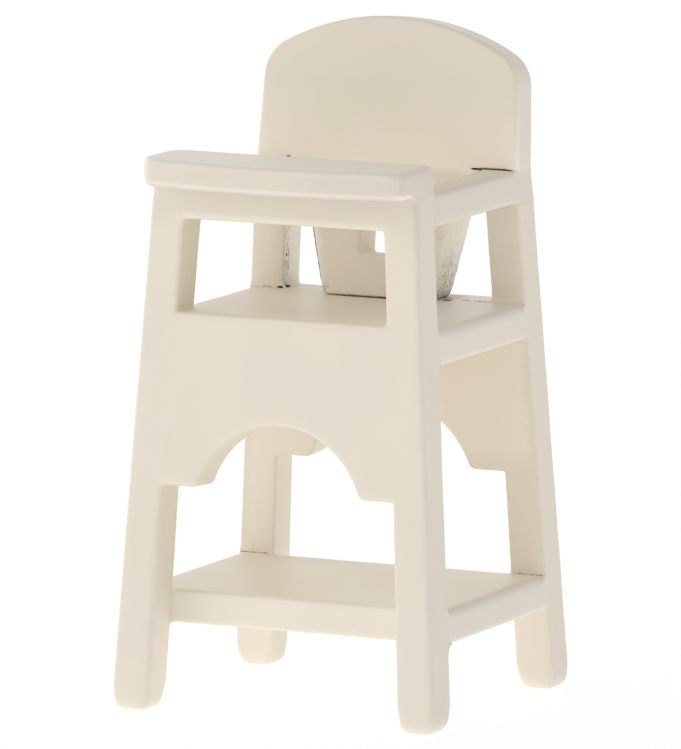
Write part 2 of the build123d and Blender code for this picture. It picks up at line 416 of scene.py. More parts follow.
class Nodes:
    """A node tree that is being filled."""

    def __init__(self, tree: bpy.types.NodeTree) -> None:
        """Empty the tree."""
        self.tree = tree
        self.tree.nodes.clear()

    def add(self, kind: str, settings: dict, values: dict, output: int | str = 0) -> Signal:
        """Add a node.

        Args:
            kind: the node's type.
            settings: its settings, which are set first.
            values: a number, colour or signal for each of its sockets.
            output: the output that is wanted.

        Returns:
            That output as a signal.
        """
        node = self.tree.nodes.new(kind)
        for name, value in settings.items():
            setattr(node, name, value)
        for key, value in values.items():
            if isinstance(value, Signal):
                self.tree.links.new(value.socket, node.inputs[key])
            else:
                node.inputs[key].default_value = value
        return Signal(self, node.outputs[output] if len(node.outputs) else None)

    def place(self) -> Signal:
        """Where a point lies on the chair, in metres."""
        return self.add("ShaderNodeTexCoord", {}, {}, "Object")

    def stretched(self, place: Signal, scale: tuple[float, float, float]) -> Signal:
        """A place with each axis scaled."""
        return self.add("ShaderNodeVectorMath", {"operation": "MULTIPLY"}, {0: place, 1: scale})

    def noise(self, place: Signal, size: float, detail: float = 2.0) -> Signal:
        """Cloudy noise from 0 to 1, with patches of a size in millimetres."""
        values = {"Vector": place, "Scale": 1 / (size * MM), "Detail": detail}
        return self.add("ShaderNodeTexNoise", {}, values, "Fac")

    def cells(self, place: Signal, size: float, output: str) -> Signal:
        """Random cells of a size in millimetres: their Distance or their random Color."""
        return self.add("ShaderNodeTexVoronoi", {}, {"Vector": place, "Scale": 1 / (size * MM)}, output)

    def mix(self, share: Signal | float, first: object, second: object) -> Signal:
        """A colour a share of the way from the first to the second."""
        return self.add("ShaderNodeMix", {"data_type": "RGBA"}, {0: share, 6: first, 7: second}, 2)

    def brighter(self, colour: Signal, factor: Signal) -> Signal:
        """A colour multiplied by a factor."""
        return self.add("ShaderNodeVectorMath", {"operation": "SCALE"}, {0: colour, "Scale": factor})

    def attribute(self, name: str) -> Signal:
        """A value that the mesh carries at its points."""
        return self.add("ShaderNodeAttribute", {"attribute_name": name}, {}, "Fac")

    def bump(self, height: Signal, strength: float, depth: float) -> Signal:
        """A normal from a height, whose full depth is given in millimetres."""
        values = {"Strength": strength, "Distance": depth * MM, "Height": height}
        return self.add("ShaderNodeBump", {}, values)

    def coat(self, values: dict) -> None:
        """Close a material with a Principled shader that takes the given values."""
        surface = self.add("ShaderNodeBsdfPrincipled", {}, values)
        self.add("ShaderNodeOutputMaterial", {}, {"Surface": surface})


def new_material(name: str) -> tuple[Material, Nodes]:
    """Make an empty material.

    Args:
        name: its name.

    Returns:
        The material and its nodes.
    """
    material = bpy.data.materials.new(name)
    material.use_nodes = True
    return material, Nodes(material.node_tree)


@dataclass(frozen=True)
class CreamPaint:
    """Thick satin cream paint on wood, with soft patches, faint grain, pin-holes and sawn edges, and the
    painted light, shade and bluish light that the boards' mesh layers carry.
    """

    grain: Grain
    tone: float = 1.0
    cream: Colour = (237, 228, 209)
    rosy: Colour = (237, 225, 210)
    olive: Colour = (233, 227, 204)
    edge_tone: Colour = (232, 223, 204)
    sawn_tone: Colour = (230, 227, 218)
    painted_cool_light_tone: Colour = (240, 237, 228)
    grimy_tone: Colour = (188, 180, 166)
    flake_tone: Colour = (246, 243, 235)
    pit_tone: Colour = (74, 62, 48)
    patch_size: float = 16.0
    olive_patch_ratio: float = 0.8
    rosy_range: Pair = (0.42, 0.68)
    olive_range: Pair = (0.5, 0.75)
    olive_share: float = 0.8
    grain_size: float = 0.9
    worn_range: Pair = (0.45, 0.7)
    worn_share: float = 0.55
    edge_share: float = 0.12
    thin_range: Pair = (0.35, 0.6)
    thin_share: float = 0.8
    grime_size: float = 1.1
    grime_range: Pair = (0.45, 0.65)
    grime_share: float = 0.6
    flake_reach: float = 0.6
    flake_share: float = 0.8
    pit_reach: float = 0.48
    pit_cell: float = 0.37
    speck_sharpness: float = 9.0
    high_cells: tuple[float, float, float] = (1.0, 1.0, 0.7)
    torn: tuple[float, float, float] = (1.0, 1.0, 0.6)
    flaked: tuple[float, float, float] = (1.13, 0.87, 0.71)
    pin_hole_cell: float = 8.0
    pin_hole_radius: float = 0.11
    pin_hole_chance: float = 0.28
    pin_hole_share: float = 0.7
    peel_size: float = 0.55
    grit_size: float = 0.3
    fibre_height: float = 0.35
    peel_height: float = 0.3
    grit_height: float = 1.6
    pit_depth: float = 2.5
    bump_strength: float = 0.55
    bump_depth: float = 0.035
    roughness: float = 0.46
    roughness_wander: float = 0.1
    sawn_roughness: float = 0.25
    specular: float = 0.4
    coat_roughness: float = 0.3
    coat_weight: float = 0.08

    def build(self) -> Material:
        """Make the material.

        Returns:
            The material.
        """
        material, nodes = new_material(f"cream_paint_{self.grain.name.lower()}")
        cream, rosy_tone, olive_tone = map(self.toned, (self.cream, self.rosy, self.olive))
        place = nodes.place()
        sawn = nodes.attribute("sawn")
        edge = nodes.attribute("edge")

        rosy = nodes.noise(place, self.patch_size).ramp(*self.rosy_range)
        olive_size = self.patch_size * self.olive_patch_ratio
        patches = nodes.noise(nodes.stretched(place, self.high_cells), olive_size)
        olive = patches.ramp(*self.olive_range) * self.olive_share
        colour = nodes.mix(rosy, cream, rosy_tone)
        colour = nodes.mix(olive, colour, olive_tone)

        worn = edge * nodes.noise(place, self.grain_size * 2, 3.0).ramp(*self.worn_range)
        worn = worn * self.worn_share + edge * self.edge_share
        colour = nodes.mix(worn, colour, linear(self.edge_tone))
        thin = sawn * nodes.noise(place, self.grain_size, 4.0).ramp(*self.thin_range)
        colour = nodes.mix(thin * self.thin_share, colour, linear(self.sawn_tone))
        # painted bluish light, then painted light and shade, both from the boards' mesh layers
        colour = nodes.mix(nodes.attribute("painted_cool_light"), colour, linear(self.painted_cool_light_tone))
        colour = nodes.brighter(colour, 1.0 + nodes.attribute("painted_light_and_shade"))

        torn = nodes.stretched(place, self.torn)
        grime = sawn * sawn * nodes.noise(torn, self.grime_size, 4.0).ramp(*self.grime_range)
        colour = nodes.mix(grime * self.grime_share, colour, linear(self.grimy_tone))
        flakes = self.specks(nodes, nodes.stretched(place, self.flaked), sawn * sawn, self.flake_reach)
        colour = nodes.mix(flakes * self.flake_share, colour, linear(self.flake_tone))
        pits = self.specks(nodes, torn, sawn, self.pit_reach).at_least(self.pin_holes(nodes, place))
        colour = nodes.mix(pits, colour, linear(self.pit_tone))

        fibres = nodes.noise(nodes.stretched(place, self.grain.value), self.grain_size, 4.0)
        peel = nodes.noise(place, self.peel_size, 1.0)
        grit = sawn * nodes.noise(place, self.grit_size, 3.0)
        height = fibres * self.fibre_height + peel * self.peel_height
        height = height + grit * self.grit_height - pits * self.pit_depth
        wander = nodes.noise(place, self.patch_size / 3) * self.roughness_wander
        values = {
            "Base Color": colour,
            "Roughness": self.roughness + wander + sawn * self.sawn_roughness,
            "Normal": nodes.bump(height, self.bump_strength, self.bump_depth),
            "Specular IOR Level": self.specular,
            "Coat Roughness": self.coat_roughness,
            "Coat Weight": self.coat_weight,
        }
        nodes.coat(values)
        return material

    def toned(self, colour: Colour) -> tuple[float, float, float, float]:
        """A colour of the coat, made a little lighter or darker for this board."""
        red, green, blue, _ = linear(colour)
        return (red * self.tone, green * self.tone, blue * self.tone, 1.0)

    def pin_holes(self, nodes: Nodes, place: Signal) -> Signal:
        """Rare tiny holes in the paint: above 0 in a hole and 0 outside it.

        Args:
            nodes: the tree.
            place: where a point lies.

        Returns:
            How dark the paint is there.
        """
        far = nodes.cells(place, self.pin_hole_cell, "Distance")
        chosen = nodes.cells(place, self.pin_hole_cell, "Color").above(1 - self.pin_hole_chance)
        hole = 1.0 - far * (self.pin_hole_cell / self.pin_hole_radius)
        return hole.at_least(0.0).at_most(1.0) * chosen * self.pin_hole_share

    def specks(self, nodes: Nodes, place: Signal, wanted: Signal, size: float) -> Signal:
        """Round specks of random sizes.

        Args:
            nodes: the tree.
            place: where a point lies.
            wanted: how large they are there, from 0 to 1.
            size: the largest one's radius, as a share of a cell.

        Returns:
            1 in a speck and 0 outside it.
        """
        close = nodes.cells(place, self.pit_cell, "Distance")
        chance = nodes.cells(place, self.pit_cell, "Color")
        return ((wanted * chance * size - close) * self.speck_sharpness).at_most(1.0).at_least(0.0)


@dataclass(frozen=True)
class DarkGap:
    """The inside of a narrow crack: raw wood and old glue that no light reaches; it also colours the line
    of painted shade on the splat's edge.
    """

    brown: Colour = (30, 24, 17)
    tan: Colour = (104, 84, 58)
    streak_size: float = 0.9
    streak_range: Pair = (0.4, 0.75)
    roughness: float = 0.95
    specular: float = 0.1

    def build(self) -> Material:
        """Make the material.

        Returns:
            The material.
        """
        material, nodes = new_material("dark_gap")
        streaks = nodes.noise(nodes.place(), self.streak_size, 3.0).ramp(*self.streak_range)
        colour = nodes.mix(streaks, linear(self.brown), linear(self.tan))
        values = {"Roughness": self.roughness, "Specular IOR Level": self.specular}
        nodes.coat({"Base Color": colour, **values})
        return material


@dataclass(frozen=True)
class BareWood:
    """Bare beech of the hidden dowels, with short flecks along the grain."""

    light: Colour = (214, 186, 148)
    dark: Colour = (176, 140, 98)
    ring_size: float = 1.1
    ring_range: Pair = (0.3, 0.7)
    fleck_size: float = 0.25
    fleck_range: Pair = (0.6, 0.8)
    fleck_share: float = 0.5
    roughness: float = 0.6
    fleck_roughness: float = 0.15
    bump_strength: float = 0.4
    bump_depth: float = 0.03

    def build(self) -> Material:
        """Make the material.

        Returns:
            The material.
        """
        material, nodes = new_material("bare_wood")
        place = nodes.stretched(nodes.place(), Grain.LENGTHWISE.value)
        rings = nodes.noise(place, self.ring_size, 3.0)
        flecks = nodes.noise(place, self.fleck_size, 2.0).ramp(*self.fleck_range)
        colour = nodes.mix(rings.ramp(*self.ring_range), linear(self.light), linear(self.dark))
        colour = nodes.mix(flecks * self.fleck_share, colour, linear(self.dark))
        bump = nodes.bump(rings + flecks, self.bump_strength, self.bump_depth)
        roughness = self.roughness + flecks * self.fleck_roughness
        nodes.coat({"Base Color": colour, "Roughness": roughness, "Normal": bump})
        return material


def dress(piece: Object, material: Material, slot: str, *nodes: str) -> None:
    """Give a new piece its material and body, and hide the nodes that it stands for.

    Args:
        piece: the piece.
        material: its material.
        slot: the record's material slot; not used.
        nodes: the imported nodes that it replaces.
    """
    piece.data.materials.append(material)
    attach(piece, "root")
    if nodes:
        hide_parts(*nodes)
    LOG.info("%s: %d faces, stands for %s", piece.name, len(piece.data.polygons), nodes or "no node")


def skin(shape: BMesh, rings: list[list[BMVert]]) -> None:
    """Join rings of points into one closed skin.

    Args:
        shape: the mesh.
        rings: the rings, as many points in each.
    """
    for first, second in zip(rings, rings[1:]):
        for k in range(len(first)):
            ahead = (k + 1) % len(first)
            shape.faces.new((first[k], first[ahead], second[ahead], second[k]))
    shape.faces.new(rings[0])
    shape.faces.new(rings[-1])
    bmesh.ops.recalc_face_normals(shape, faces=shape.faces)


def object_from(name: str, shape: BMesh) -> Object:
    """Turn a finished mesh, in metres, into an object of the scene.

    Args:
        name: the object's name.
        shape: the mesh, which is freed.

    Returns:
        The object.
    """
    for face in shape.faces:
        face.smooth = True
    mesh = bpy.data.meshes.new(name)
    shape.to_mesh(mesh)
    shape.free()
    piece = bpy.data.objects.new(name, mesh)
    bpy.context.scene.collection.objects.link(piece)
    return piece


@dataclass
class Board:
    """A flat board with edges softened by sanding and thick paint.

    Its outline lies in two coordinates, u and v, and its depth goes from the near face to the far one.
    A glued end is buried a little in the board that it meets, and tucked in from that board's edge.
    Each point of the mesh carries a value in every layer, which the paint reads: the rounded edge, the sawn
    edge, the painted light and shade, and the painted bluish light.
    """

    chair: Carcase
    name: str
    node: str
    grain: Grain
    thickness: float
    tone: float = 1.0
    edge_round: float = 0.9
    glued_round: float = 0.015
    sharp_below: float = 0.12
    arc_steps: int = 5
    wall_rows: int = 4
    cap_spacing: float = 1.3
    cap_clearance: float = 0.6
    rim_spacing: float = 0.8
    wave_height: float = 0.05
    wave_length: float = 9.0
    rough_height: float = 0.09
    coarse_grit: float = 2.3
    fine_grit: float = 5.1
    fine_grit_share: float = 0.7
    worn_range: Pair = (0.2, 0.5)
    least_turn: float = 0.7
    bury: float = 0.3
    tuck: float = 0.15
    layers: tuple[str, ...] = ("edge", "sawn", "painted_light_and_shade", "painted_cool_light")

    def loops(self) -> list[Loop]:
        """The outline and the openings, with the material on the left of the way round."""
        raise NotImplementedError

    def place(self, u: float, v: float, depth: float) -> Vector:
        """The point of the chair at a place and depth of the board."""
        raise NotImplementedError

    def softness(self, u: float, v: float) -> Pair:
        """Rounding of the near and the far edge at a point of the outline."""
        raise NotImplementedError

    def sawn(self, u: float, v: float, depth_share: float) -> float:
        """How rough the sawn edge is at a point of it, from 0 to 1."""
        return 0.0

    def coat(self, u: float, v: float, depth_share: float) -> Pair:
        """The painted light and shade at a point, as a share of lighter colour, and the painted bluish
        light there, from 0 to 1.
        """
        return 0.0, 0.0

    def spacing(self, u: float, v: float) -> float:
        """The longest run of the outline near a point."""
        return self.rim_spacing

    def profile(self, near: float, far: float) -> list[tuple[float, float, float]]:
        """The edge's section from the near face to the far one.

        Args:
            near: rounding at the near face.
            far: rounding at the far face.

        Returns:
            For each row the inset, the depth and how much of the rounding it is on, from 0 to 1.
        """
        turns = [step / self.arc_steps * pi / 2 for step in range(self.arc_steps + 1)]
        rows = [(near * (1 - sin(a)), near * (1 - cos(a)), sin(2 * a)) for a in turns]
        for row in range(1, self.wall_rows):
            rows.append((0.0, blend(near, self.thickness - far, row / self.wall_rows), 0.0))
        back = [(far * (1 - sin(a)), self.thickness - far * (1 - cos(a)), sin(2 * a)) for a in turns]
        return rows + back[::-1]

    def point(self, shape: BMesh, spot: Vector, *values: float) -> BMVert:
        """Add a point to the mesh.

        Args:
            shape: the mesh.
            spot: where it lies on the chair.
            values: the point's value in each layer.

        Returns:
            The point.
        """
        point = shape.verts.new(spot * MM)
        for word, value in zip(self.layers, values):
            point[shape.verts.layers.float[word]] = value
        return point

    def rim(self, shape: BMesh, loop: Loop) -> tuple[list, np.ndarray, np.ndarray]:
        """Build the edge along one outline.

        Args:
            shape: the mesh.
            loop: the outline.

        Returns:
            The columns of points, and the outline's inset points at the near and the far face.
        """
        columns, near_face, far_face, sharp = [], [], [], []
        count = len(loop)
        for index, (u, v) in enumerate(loop):
            before = loop[index - 1]
            after = loop[(index + 1) % count]
            first = Vector((u - before[0], v - before[1])).normalized()
            second = Vector((after[0] - u, after[1] - v)).normalized()
            way = (first + second).normalized()
            turn = max(self.least_turn, sqrt((1 + first.dot(second)) / 2))
            inward = Vector((-way.y, way.x)) / turn
            near, far = self.softness(u, v)
            worn = smooth(max(near, far), *self.worn_range)
            column = []
            for inset, depth, rounding in self.profile(near, far):
                spot = self.place(u + inward.x * inset, v + inward.y * inset, depth)
                share = depth / self.thickness
                values = (rounding * worn, self.sawn(u, v, share), *self.coat(u, v, share))
                column.append(self.point(shape, spot, *values))
            columns.append(column)
            near_face.append((u + inward.x * near, v + inward.y * near))
            far_face.append((u + inward.x * far, v + inward.y * far))
            sharp.append((near < self.sharp_below, far < self.sharp_below))
        last = len(columns[0]) - 1
        for index, column in enumerate(columns):
            ahead = columns[(index + 1) % count]
            for row in range(last):
                shape.faces.new((column[row], ahead[row], ahead[row + 1], column[row + 1]))
            crisp_rows = [0, self.arc_steps] if sharp[index][0] else []
            crisp_rows += [last, last - self.arc_steps] if sharp[index][1] else []
            for row in crisp_rows:
                shape.edges.get((column[row], ahead[row])).smooth = False
        return columns, np.array(near_face), np.array(far_face)

    def cap(
        self, shape: BMesh, rings: list[list], outlines: list[np.ndarray], depth: float
    ) -> None:
        """Close a face of the board with small triangles.

        Args:
            shape: the mesh.
            rings: the points around the face and around each opening.
            outlines: where these points lie on the board.
            depth: the face's depth.
        """
        border = np.vstack(outlines)
        low = border.min(0)
        high = border.max(0)
        step = self.cap_spacing
        across = np.arange(low[0], high[0], step)
        up = np.arange(low[1], high[1], step * sqrt(3) / 2)
        grid = np.array([(u + (row % 2) * step / 2, v) for row, v in enumerate(up) for u in across])
        grid = grid[inside(grid, outlines)]
        gaps = np.array([np.min(np.hypot(*(border - spot).T)) for spot in grid])
        grid = grid[gaps > step * self.cap_clearance]
        edges = []
        start = 0
        for ring in rings:
            count = len(ring)
            edges += [(start + k, start + (k + 1) % count) for k in range(count)]
            start += count
        points = [Vector(spot) for spot in border] + [Vector(spot) for spot in grid]
        verts = [point for ring in rings for point in ring]
        for u, v in grid:
            values = (0.0, 0.0, *self.coat(u, v, depth / self.thickness))
            verts.append(self.point(shape, self.place(u, v, depth), *values))
        _, lines, faces, origin, sources, _ = delaunay_2d_cdt(points, edges, [], 0, 1e-7, True)
        walls = {frozenset(line) for line, source in zip(lines, sources) if source}
        for face in within(faces, walls):
            shape.faces.new([verts[origin[k][0]] for k in face])

    def swell(self, shape: BMesh, columns: list[list]) -> None:
        """Let the thick paint swell and sink a little, and roughen the sawn edges.

        Args:
            shape: the mesh.
            columns: the edge's columns of points. A sharp edge's points all move by one shift.
        """
        sawn_layer = shape.verts.layers.float["sawn"]
        shape.normal_update()
        shifts = {}
        for point in shape.verts:
            place = point.co / MM
            wave = self.wave_height * noise.noise(place / self.wave_length)
            grit = noise.noise(place * self.coarse_grit)
            grit += self.fine_grit_share * noise.noise(place * self.fine_grit)
            shifts[point] = point.normal * (wave + self.rough_height * point[sawn_layer] * grit)
        for column in columns:
            for rows in (column[: self.arc_steps + 1], column[-self.arc_steps - 1 :]):
                if (rows[0].co - rows[-1].co).length < self.sharp_below * MM:
                    shared = shifts[rows[0]] + shifts[rows[-1]]
                    for point in rows:
                        shifts[point] = shared
        for point, shift in shifts.items():
            point.co += shift * MM
            point.co.z = max(0.0, point.co.z)

    def build(self) -> Object:
        """Build the board as one closed mesh and dress it.

        Returns:
            The board.
        """
        shape = bmesh.new()
        for word in self.layers:
            shape.verts.layers.float.new(word)
        rims = [self.rim(shape, refine(loop, self.spacing)) for loop in self.loops()]
        for end, outline, depth in ((0, 1, 0.0), (-1, 2, self.thickness)):
            rings = [[column[end] for column in rim[0]] for rim in rims]
            self.cap(shape, rings, [rim[outline] for rim in rims], depth)
        bmesh.ops.recalc_face_normals(shape, faces=shape.faces)
        self.swell(shape, [column for rim in rims for column in rim[0]])
        piece = object_from(self.name, shape)
        dress(piece, CreamPaint(self.grain, self.tone).build(), "cream_paint", self.node)
        return piece


@dataclass
class LeggedPanel(Board):
    """A panel with two legs, flat shoulders and an arch between them."""

    grain: Grain = Grain.UPRIGHT
    thickness: float = 6.7
    leg_width_at_shoulder: float = 6.1
    leg_width_at_floor: float = 6.7
    shoulder_height: float = 37.1
    shoulder_width: float = 6.1
    shoulder_round: float = 1.3
    corner_round: float = 0.5
    arch_rise: float = 10.8
    shoulder_steps: int = 6
    arch_steps: int = 40
    foot_corner_spare: float = 0.1
    foot_round: float = 1.9
    foot_zone: Pair = (0.8, 4.5)
    inner_edge_round: float = 0.4
    level_side: Pair = (2.5, 0.5)
    level_foot: Pair = (8.0, 20.0)
    level_reach: float = 2.0

    def feet_and_arch(self) -> list[Corner | Loop]:
        """The outline's lower end, from the left foot over the arch to the right foot.

        Returns:
            The corners and the arch's points.
        """
        outer = self.chair.half_width(0)
        inner = outer - self.leg_width_at_floor
        shoulder = self.shoulder_height
        inner_at_shoulder = self.chair.half_width(shoulder) - self.leg_width_at_shoulder
        half_chord = inner_at_shoulder - self.shoulder_width
        radius = (half_chord**2 + self.arch_rise**2) / (2 * self.arch_rise)
        centre = (0.0, shoulder + self.arch_rise - radius)
        rise = shoulder + self.shoulder_round - centre[1]
        reach = sqrt((radius + self.shoulder_round) ** 2 - rise**2)
        slope = atan2(rise, reach)
        foot = self.foot_round + self.foot_corner_spare
        level = shoulder + self.shoulder_round
        steps = self.shoulder_steps
        left = arc((-reach, level), self.shoulder_round, -pi / 2, -slope, steps)
        over = arc(centre, radius, pi - slope, slope, self.arch_steps)
        right = arc((reach, level), self.shoulder_round, slope - pi, -pi / 2, steps)
        leg = [
            Corner(-outer, 0, foot),
            Corner(-inner, 0, foot),
            Corner(-inner_at_shoulder, shoulder, self.corner_round),
        ]
        return leg + [left + over[1:-1] + right] + mirrored(leg)

    def level(self, u: float, v: float, low: float, high: float) -> float:
        """How far the panel is cut level instead of square to its faces.

        Args:
            u: the place across.
            v: the place in height.
            low: where its upper level zone begins.
            high: where that zone is level.

        Returns:
            1 where it is cut level, as it is at its sides, its feet and in that zone, else 0.
        """
        wide = self.chair.half_width(v)
        outside = smooth(abs(u), wide - self.level_side[0], wide - self.level_side[1])
        return max(outside, 1 - smooth(v, *self.level_foot), smooth(v, low, high))

    def edges(self, v: float, plain: float, top: float) -> Pair:
        """Rounding of the panel's outer and inner face.

        Args:
            v: the height.
            plain: the outer face's rounding where nothing is glued.
            top: the height over which the panel is buried in the board above it.

        Returns:
            Both roundings.
        """
        near = blend(self.foot_round, plain, smooth(v, *self.foot_zone))
        near = blend(near, self.glued_round, smooth(v, top, top + self.bury / 2))
        far = blend(self.foot_round, self.inner_edge_round, smooth(v, *self.foot_zone))
        return near, blend(far, self.glued_round, self.chair.glued(v))


@dataclass
class FrontPanel(LeggedPanel):
    """The front panel: a window for the doll's legs over a solid apron."""

    name: str = "front_panel_painted"
    node: str = "front_panel"
    leg_width_at_window: float = 6.1
    sill_above_seat: float = 1.4
    top_rail_width: float = 5.5
    window_edge_round: float = 0.65
    window_margin: float = 0.3
    middle_zone: Pair = (18.0, 24.0)
    shade_at_sides: Pair = (-3.0, 0.6)
    shade_in_middle: Pair = (0.3, 0.9)
    shade_depth: Pair = (0.1, 0.4)
    shade_under_tray: float = 0.055
    more_in_middle: float = 0.01
    window_rim_painted_highlight: float = 0.03
    window_rim: Pair = (-0.1, 0.1)
    window_rim_fade: float = 0.2

    def loops(self) -> list[Loop]:
        """The outline and the window.

        Returns:
            The outline, and after it each opening.
        """
        top = self.chair.arm_top
        wide = self.chair.half_width(top)
        corner = [Corner(wide, top), Corner(wide - self.tuck, top + self.bury)]
        outline = trace(self.feet_and_arch() + corner + mirrored(corner))
        low = self.chair.seat_top + self.sill_above_seat
        high = top - self.top_rail_width
        at_low = self.chair.half_width(low) - self.leg_width_at_window
        at_high = self.chair.half_width(high) - self.leg_width_at_window
        corners = [(-at_low, low), (-at_high, high), (at_high, high), (at_low, low)]
        return [outline, trace([Corner(u, v, self.corner_round) for u, v in corners])]

    def place(self, u: float, v: float, depth: float) -> Vector:
        """The point at a place and depth, the near face being the front one.

        Args:
            u: the place across.
            v: the place along.
            depth: how deep it lies.

        Returns:
            The point, in millimetres.
        """
        chair = self.chair
        lean = radians(chair.front_lean)
        z = v - (1 - self.level(u, v, chair.arm_top - self.level_reach, chair.arm_top)) * depth * sin(lean)
        return Vector((u, chair.front_outer(z) + depth / cos(lean), z))

    def softness(self, u: float, v: float) -> Pair:
        """Rounding at the front and the rear face.

        Args:
            u: the place across.
            v: the place along.

        Returns:
            The near and the far edge's rounding.
        """
        chair = self.chair
        window = abs(u) < chair.half_width(v) - self.leg_width_at_window + self.window_margin
        window = window and chair.seat_top < v < chair.arm_top - 1
        return self.edges(v, self.window_edge_round if window else self.edge_round, chair.arm_top)

    def coat(self, u: float, v: float, depth_share: float) -> Pair:
        """Painted shade under the tray, with a painted highlight on the rim over the window.

        Args:
            u: the place across.
            v: the place along.
            depth_share: how deep it lies, as a share of the thickness.

        Returns:
            The painted light and shade, as a share, and the painted bluish light.
        """
        # painted shade under the tray's overhang and a painted highlight on the window's top rim, on the
        # front face
        over = v - (self.chair.arm_top - self.top_rail_width)
        middle = 1 - smooth(abs(u), *self.middle_zone)
        at_sides = smooth(over, *self.shade_at_sides) * (1 - middle)
        shaded = at_sides + smooth(over, *self.shade_in_middle) * middle
        shade = shaded * (self.shade_under_tray + self.more_in_middle * middle)
        rim = middle * between(over, *self.window_rim, self.window_rim_fade)
        ahead = 1 - smooth(depth_share, *self.shade_depth)
        return (rim * self.window_rim_painted_highlight - shade) * ahead, 0.0


@dataclass
class RearPanel(LeggedPanel):
    """The rear panel: open above its sill, with two legs that end under the armrests."""

    name: str = "rear_panel_painted"
    node: str = "rear_panel"
    leg_width_at_shoulder: float = 6.0
    leg_width_at_floor: float = 6.6
    leg_width_above_sill: float = 6.0
    shoulder_height: float = 36.3
    shoulder_width: float = 6.3
    wall_rows: int = 12
    level_reach: float = 4.0
    rough_spacing: float = 0.4
    left_leg_painted_light: float = 0.05
    left_leg_painted_cool_light: float = 0.2
    left_cool_rise: Pair = (2.0, 14.0)
    left_zone: Pair = (-12.0, 8.0)
    face_depth: Pair = (0.9, 0.99)
    inner_face_depth: float = 0.97
    side_zone: Pair = (1.5, 0.3)
    apron_reach: float = 4.0
    above_seat: Pair = (-0.2, 1.5)
    left_top_zone: Pair = (0.5, 4.0)
    inside_zone: Pair = (0.2, 0.9)
    on_sill: Pair = (-0.1, 0.4)
    sill_margin: float = 0.2
    inner_margin: float = 0.4
    apron_painted_light: float = 0.085
    apron_left_drop: float = 0.035
    apron_painted_cool_light: float = 0.05
    right_top_shade: float = 0.05
    left_top_shade: float = 0.09
    inside_painted_light: float = 0.06
    inside_painted_cool_light: float = 0.6
    foot_shade: float = 0.36
    beside_foot: Pair = (9.0, 10.0)
    beside_fade: Pair = (11.0, 13.5)
    beside_foot_fade: float = 1.0
    foot_depth_fade: float = 0.1
    foot_depth: Pair = (0.3, 0.9)
    sawn_depth: Pair = (0.55, 0.95)
    sill_sawn_depth: Pair = (0.2, 0.9)
    sawn_end: Pair = (0.96, 0.995)
    sawn_share: float = 0.8
    sill_sawn_rise: Pair = (0.5, 4.0)

    def inner(self, v: float) -> float:
        """How far the legs' inner sides stand from the middle above the sill."""
        return self.chair.half_width(v) - self.leg_width_above_sill

    def loops(self) -> list[Loop]:
        """The outline.

        Returns:
            The outline, and after it each opening.
        """
        top = self.chair.arm_under
        sill = self.chair.seat_top
        wide = self.chair.half_width(top)
        leg = [
            Corner(wide, top),
            Corner(wide - self.tuck, top + self.bury),
            Corner(self.inner(top) + self.tuck, top + self.bury),
            Corner(self.inner(top), top),
            Corner(self.inner(sill), sill, self.corner_round),
        ]
        return [trace(self.feet_and_arch() + leg + mirrored(leg))]

    def place(self, u: float, v: float, depth: float) -> Vector:
        """The point at a place and depth, the near face being the rear one.

        Args:
            u: the place across.
            v: the place along.
            depth: how deep it lies.

        Returns:
            The point, in millimetres.
        """
        chair = self.chair
        lean = radians(chair.rear_lean)
        level = self.level(u, v, chair.seat_top - self.level_reach, chair.seat_top)
        z = v - (1 - level) * depth * sin(lean)
        return Vector((u, chair.rear_outer(z) - depth / cos(lean), z))

    def softness(self, u: float, v: float) -> Pair:
        """Rounding at the rear and the front face."""
        return self.edges(v, self.edge_round, self.chair.arm_under)

    def coat(self, u: float, v: float, depth_share: float) -> Pair:
        """Painted light and bluish light on the left leg, under the seat and inside the left leg above it,
        and painted shade on the legs above the seat and beside the splat's foot.

        Args:
            u: the place across.
            v: the place along.
            depth_share: how deep it lies, as a share of the thickness.

        Returns:
            The painted light and shade, as a share, and the painted bluish light.
        """
        wide = self.chair.half_width(v)
        over = v - self.chair.seat_top
        free = 1 - smooth(abs(u), wide - self.side_zone[0], wide - self.side_zone[1])
        ahead = smooth(depth_share, *self.face_depth)
        left = 1 - smooth(u, *self.left_zone)
        apron = smooth(v, self.shoulder_height, self.shoulder_height + self.apron_reach)
        on_apron = (self.apron_painted_light - self.apron_left_drop * left) * ahead
        painted_light_and_shade = blend(self.left_leg_painted_light * left * smooth(v, *self.level_foot), on_apron, apron)
        painted_cool_light = blend(self.left_leg_painted_cool_light * left * smooth(v, *self.left_cool_rise), self.apron_painted_cool_light, apron)
        above = smooth(over, *self.above_seat)
        from_inner = -u - self.inner(v)
        if u > 0:
            upper, upper_painted_cool_light = -self.right_top_shade * ahead, 0.0
        elif depth_share > self.inner_face_depth:
            near = 1 - smooth(from_inner, *self.left_top_zone)
            upper, upper_painted_cool_light = -self.left_top_shade * near, 0.0
        else:
            inside = 1 - smooth(from_inner, *self.inside_zone)
            upper, upper_painted_cool_light = self.inside_painted_light * inside, self.inside_painted_cool_light * inside
        # painted shade cast on the sill beside the splat's foot
        if self.on_sill[0] < over < self.on_sill[1] and u > 0:
            away = smooth(u, self.beside_foot[1], self.beside_fade[0]) * (1 - smooth(u, *self.beside_fade))
            beside = between(u, *self.beside_foot, self.beside_foot_fade) + away
            deep = between(depth_share, *self.foot_depth, self.foot_depth_fade)
            upper = -self.foot_shade * min(1.0, beside) * deep
            above = 1.0
        return blend(painted_light_and_shade, upper, above) * free, blend(painted_cool_light, upper_painted_cool_light, above) * free

    def above_sill(self, u: float, v: float) -> bool:
        """Whether a point of the outline is on a leg's inner side above the sill."""
        return v > self.chair.seat_top - self.sill_margin and abs(u) < self.inner(v) + self.inner_margin

